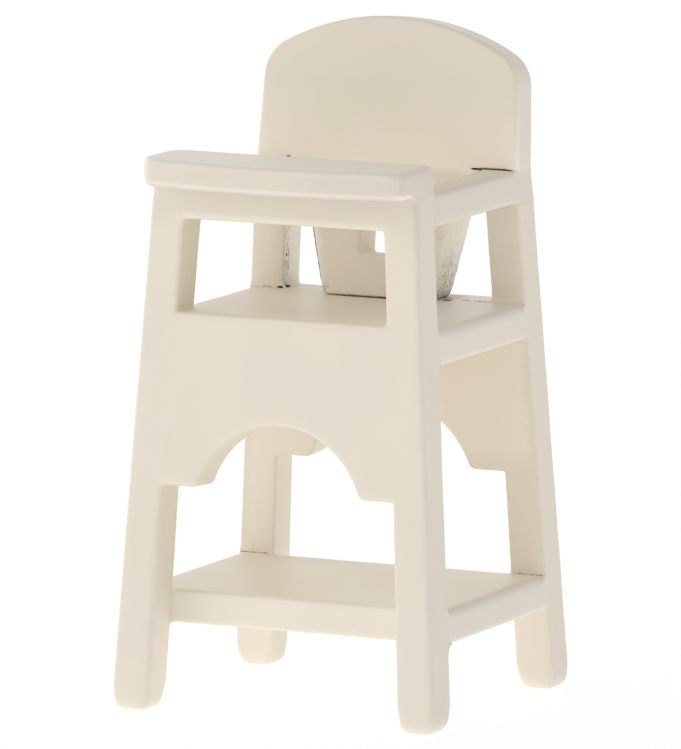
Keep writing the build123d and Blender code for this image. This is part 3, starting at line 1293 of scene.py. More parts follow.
    def sawn(self, u: float, v: float, depth_share: float) -> float:
        """Rough near the front edge of the legs' inner sides, most of all at the sill.

        Args:
            u: the place across.
            v: the place along.
            depth_share: how deep it lies, as a share of the thickness.

        Returns:
            How rough it is, from 0 to 1.
        """
        if not self.above_sill(u, v) or abs(u) < self.inner(v) - 1:
            return 0.0
        start, end = (self.chair.seat_top + rise for rise in self.sill_sawn_rise)
        low = 1 - smooth(v, start, end)
        at_sill = low * smooth(depth_share, *self.sill_sawn_depth)
        rough = max(smooth(depth_share, *self.sawn_depth) * self.sawn_share, at_sill)
        return rough * (1 - smooth(depth_share, *self.sawn_end))

    def spacing(self, u: float, v: float) -> float:
        """Short runs on the rough sides."""
        return self.rough_spacing if self.above_sill(u, v) else self.rim_spacing


@dataclass
class Deck(Board):
    """A board glued between the two panels, drawn from above with its near face on top."""

    top: float = 0.0
    front_leg_width: float = 6.5
    rear_leg_width: float = 6.3
    top_round: float = 1.4
    end_round: float = 0.7
    end_round_reach: float = 0.8
    ends_show: bool = False
    bury: float = 0.35

    def length(self) -> float:
        """The board's length at its top."""
        return self.chair.rear_inner(self.top) - self.chair.front_inner(self.top)

    def loops(self) -> list[Loop]:
        """The outline, u across and v from the front end. Its glued ends are buried and tucked in.

        Returns:
            The outline, and after it each opening.
        """
        half = self.chair.half_width(self.top)
        long = self.length()
        tucked = half - self.tuck
        front = [
            Corner(half - self.front_leg_width, 0),
            Corner(half - self.front_leg_width, -self.bury),
            Corner(tucked, -self.bury),
        ]
        rear = [
            Corner(half, 0),
            Corner(half, long),
            Corner(tucked, long + self.bury),
            Corner(half - self.rear_leg_width, long + self.bury),
            Corner(half - self.rear_leg_width, long),
        ]
        ends = mirrored(front) + front + rear + mirrored(rear)
        if not self.ends_show:
            ends = [corner for corner in ends if abs(corner.u) > half - 1]
        return [trace(ends)]

    def place(self, u: float, v: float, depth: float) -> Vector:
        """The point at a place and depth.

        Args:
            u: the place across.
            v: the place along.
            depth: how deep it lies.

        Returns:
            The point, in millimetres.
        """
        z = self.top - depth
        chair = self.chair
        wider = chair.half_width(z) / chair.half_width(self.top)
        y = blend(chair.front_inner(z), chair.rear_inner(z), v / self.length())
        return Vector((u * wider, y, z))

    def softness(self, u: float, v: float) -> Pair:
        """Rounding at the top and the underside.

        Args:
            u: the place across.
            v: the place along.

        Returns:
            The near and the far edge's rounding.
        """
        side = self.chair.half_width(self.top) - abs(u)
        if side < 1e-3 and 0 < v < self.length():
            return self.top_round, self.edge_round
        if not self.ends_show:
            return self.glued_round, self.glued_round
        width = self.front_leg_width if v < self.length() / 2 else self.rear_leg_width
        free = smooth(side, width, width + self.end_round_reach)
        rounding = max(self.glued_round, free * self.end_round)
        return rounding, rounding


@dataclass
class SeatBoard(Deck):
    """The seat, flush with the rear sill and hidden in front behind the apron."""

    name: str = "seat_board_painted"
    node: str = "seat_board"
    grain: Grain = Grain.CROSSWISE
    thickness: float = 5.7
    tone: float = 0.96
    side_painted_light: float = 0.07
    top_painted_cool_light: float = 0.35
    top_depth: Pair = (0.1, 0.3)
    side_zone: Pair = (0.6, 0.1)
    cool_zone: Pair = (5.0, 15.0)

    def coat(self, u: float, v: float, depth_share: float) -> Pair:
        """Painted light on its sides, and painted bluish light on top to the right.

        Args:
            u: the place across.
            v: the place along.
            depth_share: how deep it lies, as a share of the thickness.

        Returns:
            The painted light and shade, as a share, and the painted bluish light.
        """
        half = self.chair.half_width(self.top)
        on_top = 1 - smooth(depth_share, *self.top_depth)
        # painted light on the side faces and painted bluish light on the top
        at_side = smooth(abs(u), half - self.side_zone[0], half - self.side_zone[1])
        painted_light_and_shade = self.side_painted_light * at_side * (1 - on_top)
        return painted_light_and_shade, self.top_painted_cool_light * on_top * smooth(u, *self.cool_zone)


@dataclass
class FootShelf(Deck):
    """The lower board, whose ends show between the legs."""

    name: str = "foot_shelf_painted"
    node: str = "foot_shelf"
    grain: Grain = Grain.CROSSWISE
    thickness: float = 5.5
    tone: float = 1.01
    ends_show: bool = True
    front_end: float = 0.3
    front_end_painted_light: float = 0.04
    painted_cool_light: float = 0.15

    def coat(self, u: float, v: float, depth_share: float) -> Pair:
        """Painted bluish light all over, and painted light on the front end."""
        return (self.front_end_painted_light if v < self.front_end else 0.0), self.painted_cool_light


@dataclass
class Armrest(Board):
    """A strip from the front panel to the rear outline, drawn from above with its near face on top."""

    grain: Grain = Grain.LENGTHWISE
    thickness: float = 5.4
    tone: float = 0.98
    side: int = 1
    width: float = 6.0
    rear_corner_round: float = 0.9
    top_rear_round: float = 0.25
    sanded_off_rear: float = 0.26
    sanded_from: float = 0.3
    back_zone: Pair = (0.45, 0.1)
    leg_zone: Pair = (1.4, 0.1)
    rear_zone: Pair = (0.4, 0.1)
    bury: float = 0.35

    def length(self) -> float:
        """The strip's length at its top."""
        return self.chair.rear_outer(self.chair.arm_top) - self.chair.front_inner_at_arms

    def loops(self) -> list[Loop]:
        """The outline, u from the inner side out and v from the front end.

        Returns:
            The outline, and after it each opening.
        """
        corners = [
            Corner(self.tuck, -self.bury),
            Corner(self.width - self.tuck, -self.bury),
            Corner(self.width, 0),
            Corner(self.width, self.length(), self.rear_corner_round),
            Corner(0, self.length(), self.rear_corner_round),
            Corner(0, 0),
        ]
        return [trace(corners)]

    def place(self, u: float, v: float, depth: float) -> Vector:
        """The point at a place and depth.

        Args:
            u: the place across.
            v: the place along.
            depth: how deep it lies.

        Returns:
            The point, in millimetres.
        """
        chair = self.chair
        z = chair.arm_top - depth
        inner = chair.half_width_at_arms - self.width
        x = inner + u * (chair.half_width(z) - inner) / self.width
        sanded = smooth(z, chair.arm_under + self.sanded_from, chair.arm_top)
        rear = chair.rear_outer(z) - self.sanded_off_rear * sanded
        return Vector((self.side * x, blend(chair.front_inner(z), rear, v / self.length()), z))

    def softness(self, u: float, v: float) -> Pair:
        """Rounding at the top and the underside.

        Args:
            u: the place across.
            v: the place along.

        Returns:
            The near and the far edge's rounding.
        """
        if v < 1e-3:
            return self.glued_round, self.glued_round
        y = self.chair.front_inner_at_arms + v
        back = self.chair.rear_inner(self.chair.arm_top)
        leg = self.chair.rear_inner_at_leg_tops
        buried = smooth(y, back - self.back_zone[0], back + self.back_zone[1])
        at_rear = smooth(v, self.length() - self.rear_zone[0], self.length() - self.rear_zone[1])
        on_leg = smooth(y, leg - self.leg_zone[0], leg - self.leg_zone[1])
        above = blend(self.edge_round, self.glued_round, buried)
        above = blend(above, self.top_rear_round, at_rear)
        below = blend(self.edge_round, self.glued_round, on_leg)
        return above, below


@dataclass
class Tray(Board):
    """The tray, with a bowed front edge, drawn from above with its near face on top."""

    name: str = "tray_painted"
    node: str = "tray"
    grain: Grain = Grain.CROSSWISE
    thickness: float = 4.6
    tone: float = 0.955
    overhang_at_ends: float = 4.8
    bow: float = 3.3
    overhang_behind: float = 0.8
    front_left_round: float = 3.9
    front_right_round: float = 1.3
    rear_left_round: float = 3.0
    rear_right_round: float = 1.3
    corner_fit: float = 0.98
    bow_steps: int = 36
    rear_steps: int = 10
    front_left_steps: int = 12
    front_right_steps: int = 8
    top_round: float = 0.7
    right_top_round: float = 1.15
    lip_round: float = 1.2
    lip_zone: Pair = (-1.8, -0.2)
    right_round_zone: Pair = (1.0, 4.0)
    ahead_zone: Pair = (-1.0, -0.1)
    right_end_zone: Pair = (0.2, 1.5)
    top_painted_light: float = 0.045
    top_painted_cool_light: float = 0.2
    top_depth: Pair = (0.05, 0.25)
    side_shade: float = 0.02
    under_shade: float = 0.08
    lip_painted_highlight: float = 0.085
    right_lip_painted_highlight: float = 0.12
    lip_rise: Pair = (0.76, 0.82)
    lip_fall: Pair = (0.83, 0.91)
    right_lip_drop: float = 0.05
    under_depth: Pair = (0.87, 0.99)

    def loops(self) -> list[Loop]:
        """The outline, from the rear right corner round the back to the bowed front.

        Returns:
            The outline, and after it each opening.
        """
        chair = self.chair
        half = chair.half_width_at_arms
        end = chair.front_outer(chair.arm_top) - self.overhang_at_ends
        rear = chair.front_inner_at_arms + self.overhang_behind
        radius = (half**2 + self.bow**2) / (2 * self.bow)
        centre = (0.0, end - self.bow + radius)
        sweep = atan2(half, radius - self.bow)
        left_share = 1 - self.front_left_round / half
        right_share = 1 - self.front_right_round / half
        start, stop = -pi / 2 - sweep * left_share, -pi / 2 + sweep * right_share
        front = arc(centre, radius, start, stop, self.bow_steps)
        corners = [
            Corner(half, rear, self.rear_right_round, self.rear_steps),
            Corner(-half, rear, self.rear_left_round, self.rear_steps),
            Corner(-half, end, self.front_left_round * self.corner_fit, self.front_left_steps),
            front,
            Corner(half, end, self.front_right_round * self.corner_fit, self.front_right_steps),
        ]
        return [trace(corners)]

    def place(self, u: float, v: float, depth: float) -> Vector:
        """The point at a place and depth."""
        return Vector((u, v, self.chair.tray_top - depth))

    def softness(self, u: float, v: float) -> Pair:
        """Rounding at the top, most at the right end, and at the underside, which the panel carries.

        Args:
            u: the place across.
            v: the place along.

        Returns:
            The near and the far edge's rounding.
        """
        from_panel = v - self.chair.front_outer(self.chair.arm_top)
        below = blend(self.lip_round, self.glued_round, smooth(from_panel, *self.lip_zone))
        from_end = self.chair.half_width_at_arms - u
        above = blend(self.right_top_round, self.top_round, smooth(from_end, *self.right_round_zone))
        return above, below

    def coat(self, u: float, v: float, depth_share: float) -> Pair:
        """Painted light and bluish light on top, painted shade on the sides, a painted highlight on the
        lower lip and painted shade under it.

        Args:
            u: the place across.
            v: the place along.
            depth_share: how deep it lies, as a share of the thickness.

        Returns:
            How much lighter the coat is, and how cool.
        """
        on_top = 1 - smooth(depth_share, *self.top_depth)
        from_panel = v - self.chair.front_outer(self.chair.arm_top)
        ahead = 1 - smooth(from_panel, *self.ahead_zone)
        at_end = 1 - smooth(self.chair.half_width_at_arms - u, *self.right_end_zone)
        # painted highlight on the rounded lower lip, strongest at the right end, with painted shade under
        # the tray
        lower = depth_share - self.right_lip_drop * at_end
        lip = smooth(depth_share, *self.lip_rise) * (1 - smooth(lower, *self.lip_fall))
        lip *= self.lip_painted_highlight + self.right_lip_painted_highlight * at_end
        under = self.under_shade * smooth(depth_share, *self.under_depth)
        painted_light_and_shade = blend(-self.side_shade, self.top_painted_light, on_top) + ahead * (lip - under)
        return painted_light_and_shade, self.top_painted_cool_light * on_top


@dataclass
class Backrest(Board):
    """The back: a round-topped board whose shoulders stand on the armrests, with a splat below."""

    name: str = "backrest_painted"
    node: str = "backrest"
    grain: Grain = Grain.UPRIGHT
    thickness: float = 6.4
    tone: float = 1.015
    edge_round: float = 0.75
    recline: float = 6.9
    side_taper: float = 2.5
    crown_radius: float = 40.5
    crown_corner_round: float = 6.5
    crown_steps: int = 48
    crown_corner_steps: int = 8
    halvings: int = 40
    flare_steps: int = 12
    armrest_width: float = 6.0
    splat_clear_of_armrest: float = 2.5
    splat_flare_gap: float = 0.1
    splat_width_at_seat: float = 20.0
    splat_foot_round: float = 1.0
    hole_size: float = 7.7
    hole_above_seat: float = 7.2
    hole_corner_round: float = 0.5
    lower_edge_round: float = 0.45
    lower_rear_round: float = 0.3
    upper_zone: Pair = (0.3, 1.8)
    level_rise: Pair = (1.0, 3.0)
    shoulder_zone: Pair = (0.5, 1.0)
    wall_rows: int = 12
    foot_gap: float = 0.06
    crack_from_side: float = 1.0
    crack_fade: float = 0.6
    rough_spacing: float = 0.35
    splat_below: float = -0.5
    lower_painted_light: float = 0.17
    lower_painted_light_reach: float = 13.0
    hole_margin: float = 0.3
    hole_sawn: float = 0.25
    hole_sawn_rise: Pair = (1.0, 2.0)
    sawn_rise: Pair = (2.0, 15.0)
    least_sawn: float = 0.2
    sawn_depth: Pair = (0.0, 0.06)
    side_zone: Pair = (0.2, 0.8)
    side_rise: Pair = (3.0, 11.0)
    foot_rise: Pair = (0.9, 2.0)
    least_painted_cool_light: float = 0.6
    front_depth: Pair = (0.1, 0.3)
    rear_depth: Pair = (0.25, 0.6)
    side_painted_light: float = 0.13
    foot_shade: float = 0.32

    def seat(self) -> float:
        """The seat's height over the armrests, which is negative."""
        return self.chair.seat_top - self.chair.arm_top

    def flared_half(self) -> float:
        """Half of the splat's width where its flare meets the armrests."""
        return self.chair.half_width_at_arms - self.armrest_width - self.splat_flare_gap

    def splat_half(self, v: float) -> float:
        """Half of the splat's width at a height over the armrests, which is negative on the splat.

        Args:
            v: the height over the armrests.

        Returns:
            Half of the width.
        """
        at_arms = self.chair.half_width_at_arms - self.armrest_width - self.splat_clear_of_armrest
        at_seat = self.splat_width_at_seat / 2
        return at_arms - (at_arms - at_seat) * v / self.seat()

    def loops(self) -> list[Loop]:
        """The outline and the hole, v being the height over the armrests.

        Returns:
            The outline, and after it each opening.
        """
        chair = self.chair
        half = chair.half_width_at_arms
        narrowing = tan(radians(self.side_taper)) / cos(radians(self.recline))
        stretch = 1 / cos(radians(self.recline))
        apex = (chair.crown_top - chair.arm_top) * stretch
        low = self.seat()
        crown = self.crown_corners(half, apex, narrowing / stretch)
        crown = [(u, v / stretch) for u, v in crown]
        under = chair.arm_under - chair.arm_top
        way = (self.splat_half(0) - self.splat_half(-1), 1.0)
        start, end = (self.splat_half(under), under), (self.flared_half(), self.foot_gap)
        flare = leaving_arc(start, way, end, self.flare_steps)
        tight = half - self.crack_from_side
        outline = [
            Corner(-half, 0),
            Corner(-half + self.tuck, -self.bury),
            Corner(-self.flared_half() - 0.3, -self.bury),
            [(-u, v) for u, v in flare[::-1]],
            Corner(-self.splat_half(low), low + self.foot_gap, self.splat_foot_round),
            Corner(self.splat_half(low), low + self.foot_gap, self.splat_foot_round),
            flare,
            Corner(tight - self.crack_fade, self.foot_gap),
            Corner(tight, -self.bury),
            Corner(half - self.tuck, -self.bury),
            Corner(half, 0),
            crown,
        ]
        bottom = low + self.hole_above_seat
        top = bottom + self.hole_size
        side = self.hole_size / 2
        hole = [(-side, bottom), (-side, top), (side, top), (side, bottom)]
        return [trace(outline), trace([Corner(u, v, self.hole_corner_round) for u, v in hole])]

    def crown_corners(self, half: float, apex: float, narrowing: float) -> Loop:
        """The round top with its two rounded corners, from the right to the left.

        Args:
            half: half of the board's width at the armrests.
            apex: the top's height on the board's face.
            narrowing: how much each side narrows for each unit of height.

        Returns:
            The points on the board's face.
        """
        centre = (0.0, apex - self.crown_radius)
        corner = self.crown_corner_round
        away = self.crown_radius - corner
        lean = atan2(narrowing, 1.0)
        ends = []
        for side in (1, -1):
            inset = (half - corner / cos(lean)) * side
            low, high = 0.0, apex
            for _ in range(self.halvings):
                v = (low + high) / 2
                u = inset - side * narrowing * v
                low, high = (v, high) if hypot(u - centre[0], v - centre[1]) < away else (low, v)
            ends.append((u, v))
        right, left = ends
        right_turn = atan2(right[1] - centre[1], right[0] - centre[0])
        left_turn = atan2(left[1] - centre[1], left[0] - centre[0])
        steps = self.crown_corner_steps
        points = arc(right, corner, lean, right_turn, steps)
        points += arc(centre, self.crown_radius, right_turn, left_turn, self.crown_steps)[1:-1]
        return points + arc(left, corner, left_turn, pi - lean, steps)

    def place(self, u: float, v: float, depth: float) -> Vector:
        """The point at a place and depth, the near face being the front one.

        Args:
            u: the place across.
            v: the place along.
            depth: how deep it lies.

        Returns:
            The point, in millimetres.
        """
        chair = self.chair
        shoulder = self.flared_half()
        on_shoulder = between(v, -self.bury, *self.shoulder_zone) * smooth(abs(u), shoulder - 1, shoulder)
        level = max(1 - smooth(v - self.seat(), *self.level_rise), on_shoulder)
        z = chair.arm_top + v - (1 - level) * depth * sin(radians(self.recline))
        face = chair.rear_inner(chair.arm_top) + (z - chair.arm_top) * tan(radians(self.recline))
        return Vector((u, face + depth / cos(radians(self.recline)), z))

    def softness(self, u: float, v: float) -> Pair:
        """Rounding at the front and the rear face.

        Args:
            u: the place across.
            v: the place along.

        Returns:
            The near and the far edge's rounding.
        """
        half = self.chair.half_width_at_arms
        from_side = half - max(v, 0.0) * tan(radians(self.side_taper)) - abs(u)
        if v < 2 and from_side < self.tuck + 0.01:
            side = blend(self.glued_round, self.edge_round, smooth(v, -self.bury, -self.bury / 2))
            return side, side
        buried = v < 0.05 and u < -self.flared_half() - 0.05
        if buried or (v < 0.2 and from_side < self.crack_from_side + self.crack_fade / 2):
            return self.glued_round, self.glued_round
        upper = smooth(v, *self.upper_zone)
        front = blend(self.lower_edge_round, self.edge_round, upper)
        return front, blend(self.lower_rear_round, self.edge_round, upper)

    def sawn(self, u: float, v: float, depth_share: float) -> float:
        """Rough on the splat's two sides, most of all near the seat, and a little in the hole.

        Args:
            u: the place across.
            v: the place along.
            depth_share: how deep it lies, as a share of the thickness.

        Returns:
            How rough it is, from 0 to 1.
        """
        if v > self.splat_below:
            return 0.0
        over = v - self.seat()
        if abs(u) < self.hole_size / 2 + self.hole_margin:
            return self.hole_sawn * smooth(over, *self.hole_sawn_rise)
        near_seat = 1 - smooth(over, *self.sawn_rise)
        return blend(self.least_sawn, 1.0, near_seat) * smooth(depth_share, *self.sawn_depth)

    def coat(self, u: float, v: float, depth_share: float) -> Pair:
        """Painted light in front toward the armrests, painted light and bluish light on the splat's sides
        and painted shade at its foot.

        Args:
            u: the place across.
            v: the place along.
            depth_share: how deep it lies, as a share of the thickness.

        Returns:
            The painted light and shade, as a share, and the painted bluish light.
        """
        if v < 0:
            # on the splat's sides: painted light and bluish light, and painted shade at the foot
            over = v - self.seat()
            at_side = 1 - smooth(self.splat_half(v) - abs(u), *self.side_zone)
            foot = 1 - smooth(over, *self.foot_rise)
            painted_light_and_shade = self.side_painted_light * smooth(over, *self.side_rise) - self.foot_shade * foot
            painted_cool_light = blend(self.least_painted_cool_light, 1.0, smooth(depth_share, *self.rear_depth))
            return at_side * painted_light_and_shade, at_side * painted_cool_light
        # above the armrests: painted light on the front face, fading upward
        ahead = 1 - smooth(depth_share, *self.front_depth)
        return self.lower_painted_light * ahead * max(0.0, 1 - v / self.lower_painted_light_reach), 0.0

    def spacing(self, u: float, v: float) -> float:
        """Short runs on the splat's rough sides."""
        return self.rough_spacing if v < self.splat_below else self.rim_spacing


@dataclass
class Trim:
    """A small form at a joint, such as a line of paint or a crack."""

    name: str

    def shape(self) -> BMesh:
        """Its closed mesh, in metres."""
        raise NotImplementedError

    def build(self, material: Material) -> None:
        """Build the form and dress it in a material."""
        dress(object_from(self.name, self.shape()), material, "cream_paint")


@dataclass
class PaintBead(Trim):
    """Paint that has filled the corner between two boards, as a strip with a hollow face."""

    start: Vector
    end: Vector
    first_way: Vector
    second_way: Vector
    radius: float = 0.6
    sink: float = 0.15
    steps: int = 6
    spacing: float = 0.6
    unevenness: float = 0.18
    wave_length: float = 3.1

    def shape(self) -> BMesh:
        """The strip along the corner, in metres.

        Returns:
            The mesh.
        """
        shape = bmesh.new()
        count = max(2, round((self.end - self.start).length / self.spacing))
        rings = []
        for index in range(count + 1):
            corner = self.start.lerp(self.end, index / count)
            radius = self.radius * (1 + self.unevenness * noise.noise(corner / self.wave_length))
            section = [corner - (self.first_way + self.second_way) * self.sink]
            section.append(corner + self.first_way * radius - self.second_way * self.sink)
            for step in range(self.steps + 1):
                turn = step / self.steps * pi / 2
                along = self.first_way * (1 - sin(turn)) + self.second_way * (1 - cos(turn))
                section.append(corner + along * radius)
            section.append(corner + self.second_way * radius - self.first_way * self.sink)
            rings.append([shape.verts.new(spot * MM) for spot in section])
        skin(shape, rings)
        return shape


@dataclass
class Crack(Trim):
    """A dark hairline along a joint, thick and thin by turns."""

    start: Vector
    end: Vector
    radius: float
    least: float
    swell: float = 1.0
    broken: float = 0.0
    sides: int = 6
    spacing: float = 0.22
    fade: float = 0.08
    tip: float = 0.12
    unevenness: float = 0.9
    wander: float = 0.05
    waves: float = 1.4
    wander_waves: float = 0.9
    wave_shift: tuple[float, float, float] = (3.1, 0.7, 5.2)

    def shape(self) -> BMesh:
        """The line, in metres.

        Returns:
            The mesh.
        """
        shape = bmesh.new()
        way = (self.end - self.start).normalized()
        side = way.orthogonal().normalized()
        other = way.cross(side)
        count = max(4, round((self.end - self.start).length / self.spacing))
        turns = [2 * pi * k / self.sides for k in range(self.sides)]
        rings = []
        for index in range(count + 1):
            share = index / count
            middle = self.start.lerp(self.end, share)
            ends = smooth(share, 0.0, self.fade) * (1 - smooth(share, 1 - self.fade, 1.0))
            wave = noise.noise(middle * self.waves + Vector(self.wave_shift))
            uneven = max(self.least, 0.5 - self.broken + self.unevenness * wave)
            radius = self.radius * uneven * max(self.tip, ends) * blend(self.swell, 1.0, share)
            middle.z += self.wander * noise.noise(middle * self.wander_waves)
            spots = [middle + (side * cos(turn) + other * sin(turn)) * radius for turn in turns]
            rings.append([shape.verts.new(spot * MM) for spot in spots])
        skin(shape, rings)
        return shape


@dataclass
class PaintRun(Trim):
    """A drop of paint that ran down an edge and dried, thin at the top and full at the bottom."""

    top: Vector
    bottom: Vector
    radius: float = 0.3
    slimness: float = 1.6
    fullness: float = 6.0
    sides: int = 12
    rows: int = 16

    def shape(self) -> BMesh:
        """The drop, in metres.

        Returns:
            The mesh.
        """
        shape = bmesh.new()
        upper = shape.verts.new(self.top * MM)
        lower = shape.verts.new(self.bottom * MM)
        turns = [2 * pi * k / self.sides for k in range(self.sides)]
        rings = []
        for row in range(1, self.rows):
            share = row / self.rows
            radius = self.radius * share**self.slimness * sqrt(1 - share**self.fullness)
            middle = self.top.lerp(self.bottom, share)
            spots = [middle + Vector((cos(turn), sin(turn), 0)) * radius for turn in turns]
            rings.append([shape.verts.new(spot * MM) for spot in spots])
        for k in range(self.sides):
            ahead = (k + 1) % self.sides
            shape.faces.new((upper, rings[0][k], rings[0][ahead]))
            shape.faces.new((lower, rings[-1][ahead], rings[-1][k]))
            for first, second in zip(rings, rings[1:]):
                shape.faces.new((first[k], second[k], second[ahead], first[ahead]))
        bmesh.ops.recalc_face_normals(shape, faces=shape.faces)
        return shape


def level_line(left: float, right: float, y: float, z: float) -> tuple[Vector, Vector]:
    """The ends of a line that runs from left to right."""
    return Vector((left, y, z)), Vector((right, y, z))


@dataclass
class Joints:
    """What shows at the glued joints: paint in the corners, hairline cracks and one run of paint, and a
    line of painted shade on the splat's edge.
    """

    chair: Carcase
    leg_width: float = 6.1
    rear_leg_width: float = 6.0
    recline: float = 6.9
    splat_half_at_seat: float = 10.0
    splat_flare: float = 0.23
    bead_from_side: float = 0.05
    run_length: float = 2.0
    run_under_shelf: float = 0.6
    run_from_edge: float = 0.25

    def beads(self) -> list[PaintBead]:
        """The filled corners.

        Returns:
            The beads, not built yet.
        """
        chair = self.chair
        down = Vector((0, 0, -1))
        ahead = Vector((0, -1, 0))
        behind = Vector((0, 1, 0))
        front = chair.front_inner
        rear = chair.rear_inner
        found = []
        corners = (
            ("shelf_front", chair.shelf_under, self.leg_width, front, behind, 1.2),
            ("shelf_rear", chair.shelf_under, self.rear_leg_width, rear, ahead, 0.5),
            ("armrest_front", chair.arm_under, self.leg_width, front, behind, 0.5),
            ("armrest_rear", chair.arm_under, self.leg_width, rear, ahead, 0.4),
        )
        for side, word in ((-1, "left"), (1, "right")):
            for corner, z, width, face, way, radius in corners:
                inner = side * (chair.half_width(z) - width)
                outer = side * (chair.half_width(z) - self.bead_from_side)
                ends = level_line(inner, outer, face(z), z)
                found.append(PaintBead(f"paint_bead_{corner}_{word}", *ends, down, way, radius))
        z = chair.seat_top
        wide = chair.half_width(z)
        ends = level_line(wide - self.rear_leg_width, wide - 0.8, rear(z), z)
        found.append(PaintBead("paint_bead_seat_leg_right", *ends, -down, ahead, 0.55))
        z = chair.seat_under
        wide = chair.half_width(z) - self.bead_from_side
        for word, face, way in (("front", front, behind), ("rear", rear, ahead)):
            ends = level_line(-wide, wide, face(z), z)
            found.append(PaintBead(f"paint_bead_seat_{word}", *ends, down, way, 0.6))
        return found

    def cracks(self) -> list[Crack]:
        """The dark hairlines at the boards' joints, at the splat and on the rear left leg, and a dark line
        of painted shade along the splat's left front edge.

        Returns:
            The cracks, not built yet.
        """
        chair = self.chair
        arm = chair.arm_top
        arm_y = chair.rear_inner(arm)
        arm_end = chair.half_width_at_arms - 0.3
        seat = chair.seat_top
        seat_y = chair.rear_inner(seat)
        side = chair.half_width(seat)
        low = seat + 0.1
        leg = -side + self.rear_leg_width + 0.02
        shelf = chair.shelf_top
        shelf_y = chair.rear_inner(shelf)
        end = chair.half_width(shelf)
        splat_y = self.splat_face(0)
        edge = [self.on_splat_edge(rise) for rise in (2.0, 13.0)]
        splat_side = (Vector((9.5, splat_y + 0.4, seat)), Vector((9.5, splat_y + 5.0, seat)))
        foot = (Vector((leg + 0.2, seat_y + 0.7, low + 0.1)), Vector((leg + 0.2, seat_y + 2.3, low)))
        grain = (self.on_left_leg(64.8, 1.0), self.on_left_leg(74.0, 0.95))
        knot = (self.on_left_leg(69.2, 0.8), self.on_left_leg(69.7, 0.9))
        split = (self.on_left_leg(65.4, 1.65), self.on_left_leg(79.0, 1.6))
        return [
            # a dark line of painted shade along the splat's rounded left front edge
            Crack("painted_shade_splat_edge", *edge, 0.11, 0.45),
            Crack("crack_beside_splat", *level_line(10.6, 12.3, seat_y - 1.4, seat), 0.24, 0.7),
            Crack("crack_right_armrest", *level_line(15.4, arm_end, arm_y, arm), 0.24, 0.7),
            Crack("crack_left_armrest", *level_line(-18.0, -17.0, arm_y, arm), 0.26, 0.9),
            Crack("crack_splat_foot", *level_line(-9.4, 9.3, splat_y, seat), 0.24, 0.3, swell=0.35),
            Crack("crack_splat_side", *splat_side, 0.16, 0.3),
            Crack("crack_seat_rear", *level_line(11.0, side - 6.2, seat_y, seat), 0.09, 0.05),
            Crack("crack_left_leg_seat", *level_line(-side + 2.2, -side + 4.1, seat_y, low), 0.09, 0.3),
            Crack("crack_left_leg_corner", *level_line(leg - 1.1, leg, seat_y, low), 0.34, 0.5),
            Crack("crack_left_leg_foot", *foot, 0.34, 0.4),
            Crack("crack_left_leg_grain", *grain, 0.085, 0.04, broken=0.3),
            Crack("crack_left_leg_knot", *knot, 0.3, 0.5),
            Crack("crack_left_leg_split", *split, 0.085, 0.03, broken=0.25),
            Crack("crack_left_leg_shelf", *level_line(-end + 0.2, -end + 5.2, shelf_y, shelf), 0.11, 0.4),
            Crack("crack_right_leg_shelf", *level_line(end - 5.4, end - 0.3, shelf_y, shelf), 0.11, 0.4),
        ]

    def splat_face(self, rise: float) -> float:
        """How far back the splat's front face lies at a height over the seat.

        Args:
            rise: the height over the seat.

        Returns:
            The face's place along Y.
        """
        chair = self.chair
        under_arms = chair.arm_top - chair.seat_top - rise
        return chair.rear_inner(chair.arm_top) - under_arms * tan(radians(self.recline))

    def on_splat_edge(self, rise: float) -> Vector:
        """A point on the splat's left front edge, at a height over the seat."""
        x = -self.splat_half_at_seat - rise * self.splat_flare + 0.1
        return Vector((x, self.splat_face(rise) + 0.12, self.chair.seat_top + rise))

    def on_left_leg(self, z: float, depth: float) -> Vector:
        """A point on the inner side of the rear left leg, at a height and a depth behind its front face."""
        chair = self.chair
        return Vector((-chair.half_width(z) + self.rear_leg_width, chair.rear_inner(z) + depth, z))

    def run(self) -> PaintRun:
        """The one run of paint, on the outer front edge of the rear right leg.

        Returns:
            The run, not built yet.
        """
        chair = self.chair
        top = chair.shelf_under - self.run_under_shelf
        ends = []
        for z in (top, top - self.run_length):
            x = chair.half_width(z) - self.run_from_edge
            ends.append(Vector((x, chair.rear_inner(z) + self.run_from_edge, z)))
        return PaintRun("paint_run_rear_leg", *ends)

    def build(self) -> None:
        """Build the paint beads, the cracks and the run."""
        paint = CreamPaint(Grain.CROSSWISE).build()
        gap = DarkGap().build()
        for bead in self.beads():
            bead.build(paint)
        for crack in self.cracks():
            crack.build(gap)
        self.run().build(paint)


def face_the_chair(
    name: str, data: bpy.types.ID, azimuth: float, elevation: float, aim: Vector, distance: float
) -> Object:
    """Hang a lamp or a camera so that it looks at a point.

    Args:
        name: the new object's name.
        data: the lamp or camera.
        azimuth: its angle round the chair, from the front toward +X.
        elevation: its angle over the horizon.
        aim: the point, in metres.
        distance: how far from the point it hangs, in metres.

    Returns:
        The object.
    """
    turn = radians(azimuth)
    rise = radians(elevation)
    back = Vector((sin(turn) * cos(rise), -cos(turn) * cos(rise), sin(rise)))
    hung = bpy.data.objects.new(name, data)
    hung.location = aim + back * distance
    hung.rotation_mode = "QUATERNION"
    hung.rotation_quaternion = (-back).to_track_quat("-Z", "Y")
    bpy.context.scene.collection.objects.link(hung)
    return hung


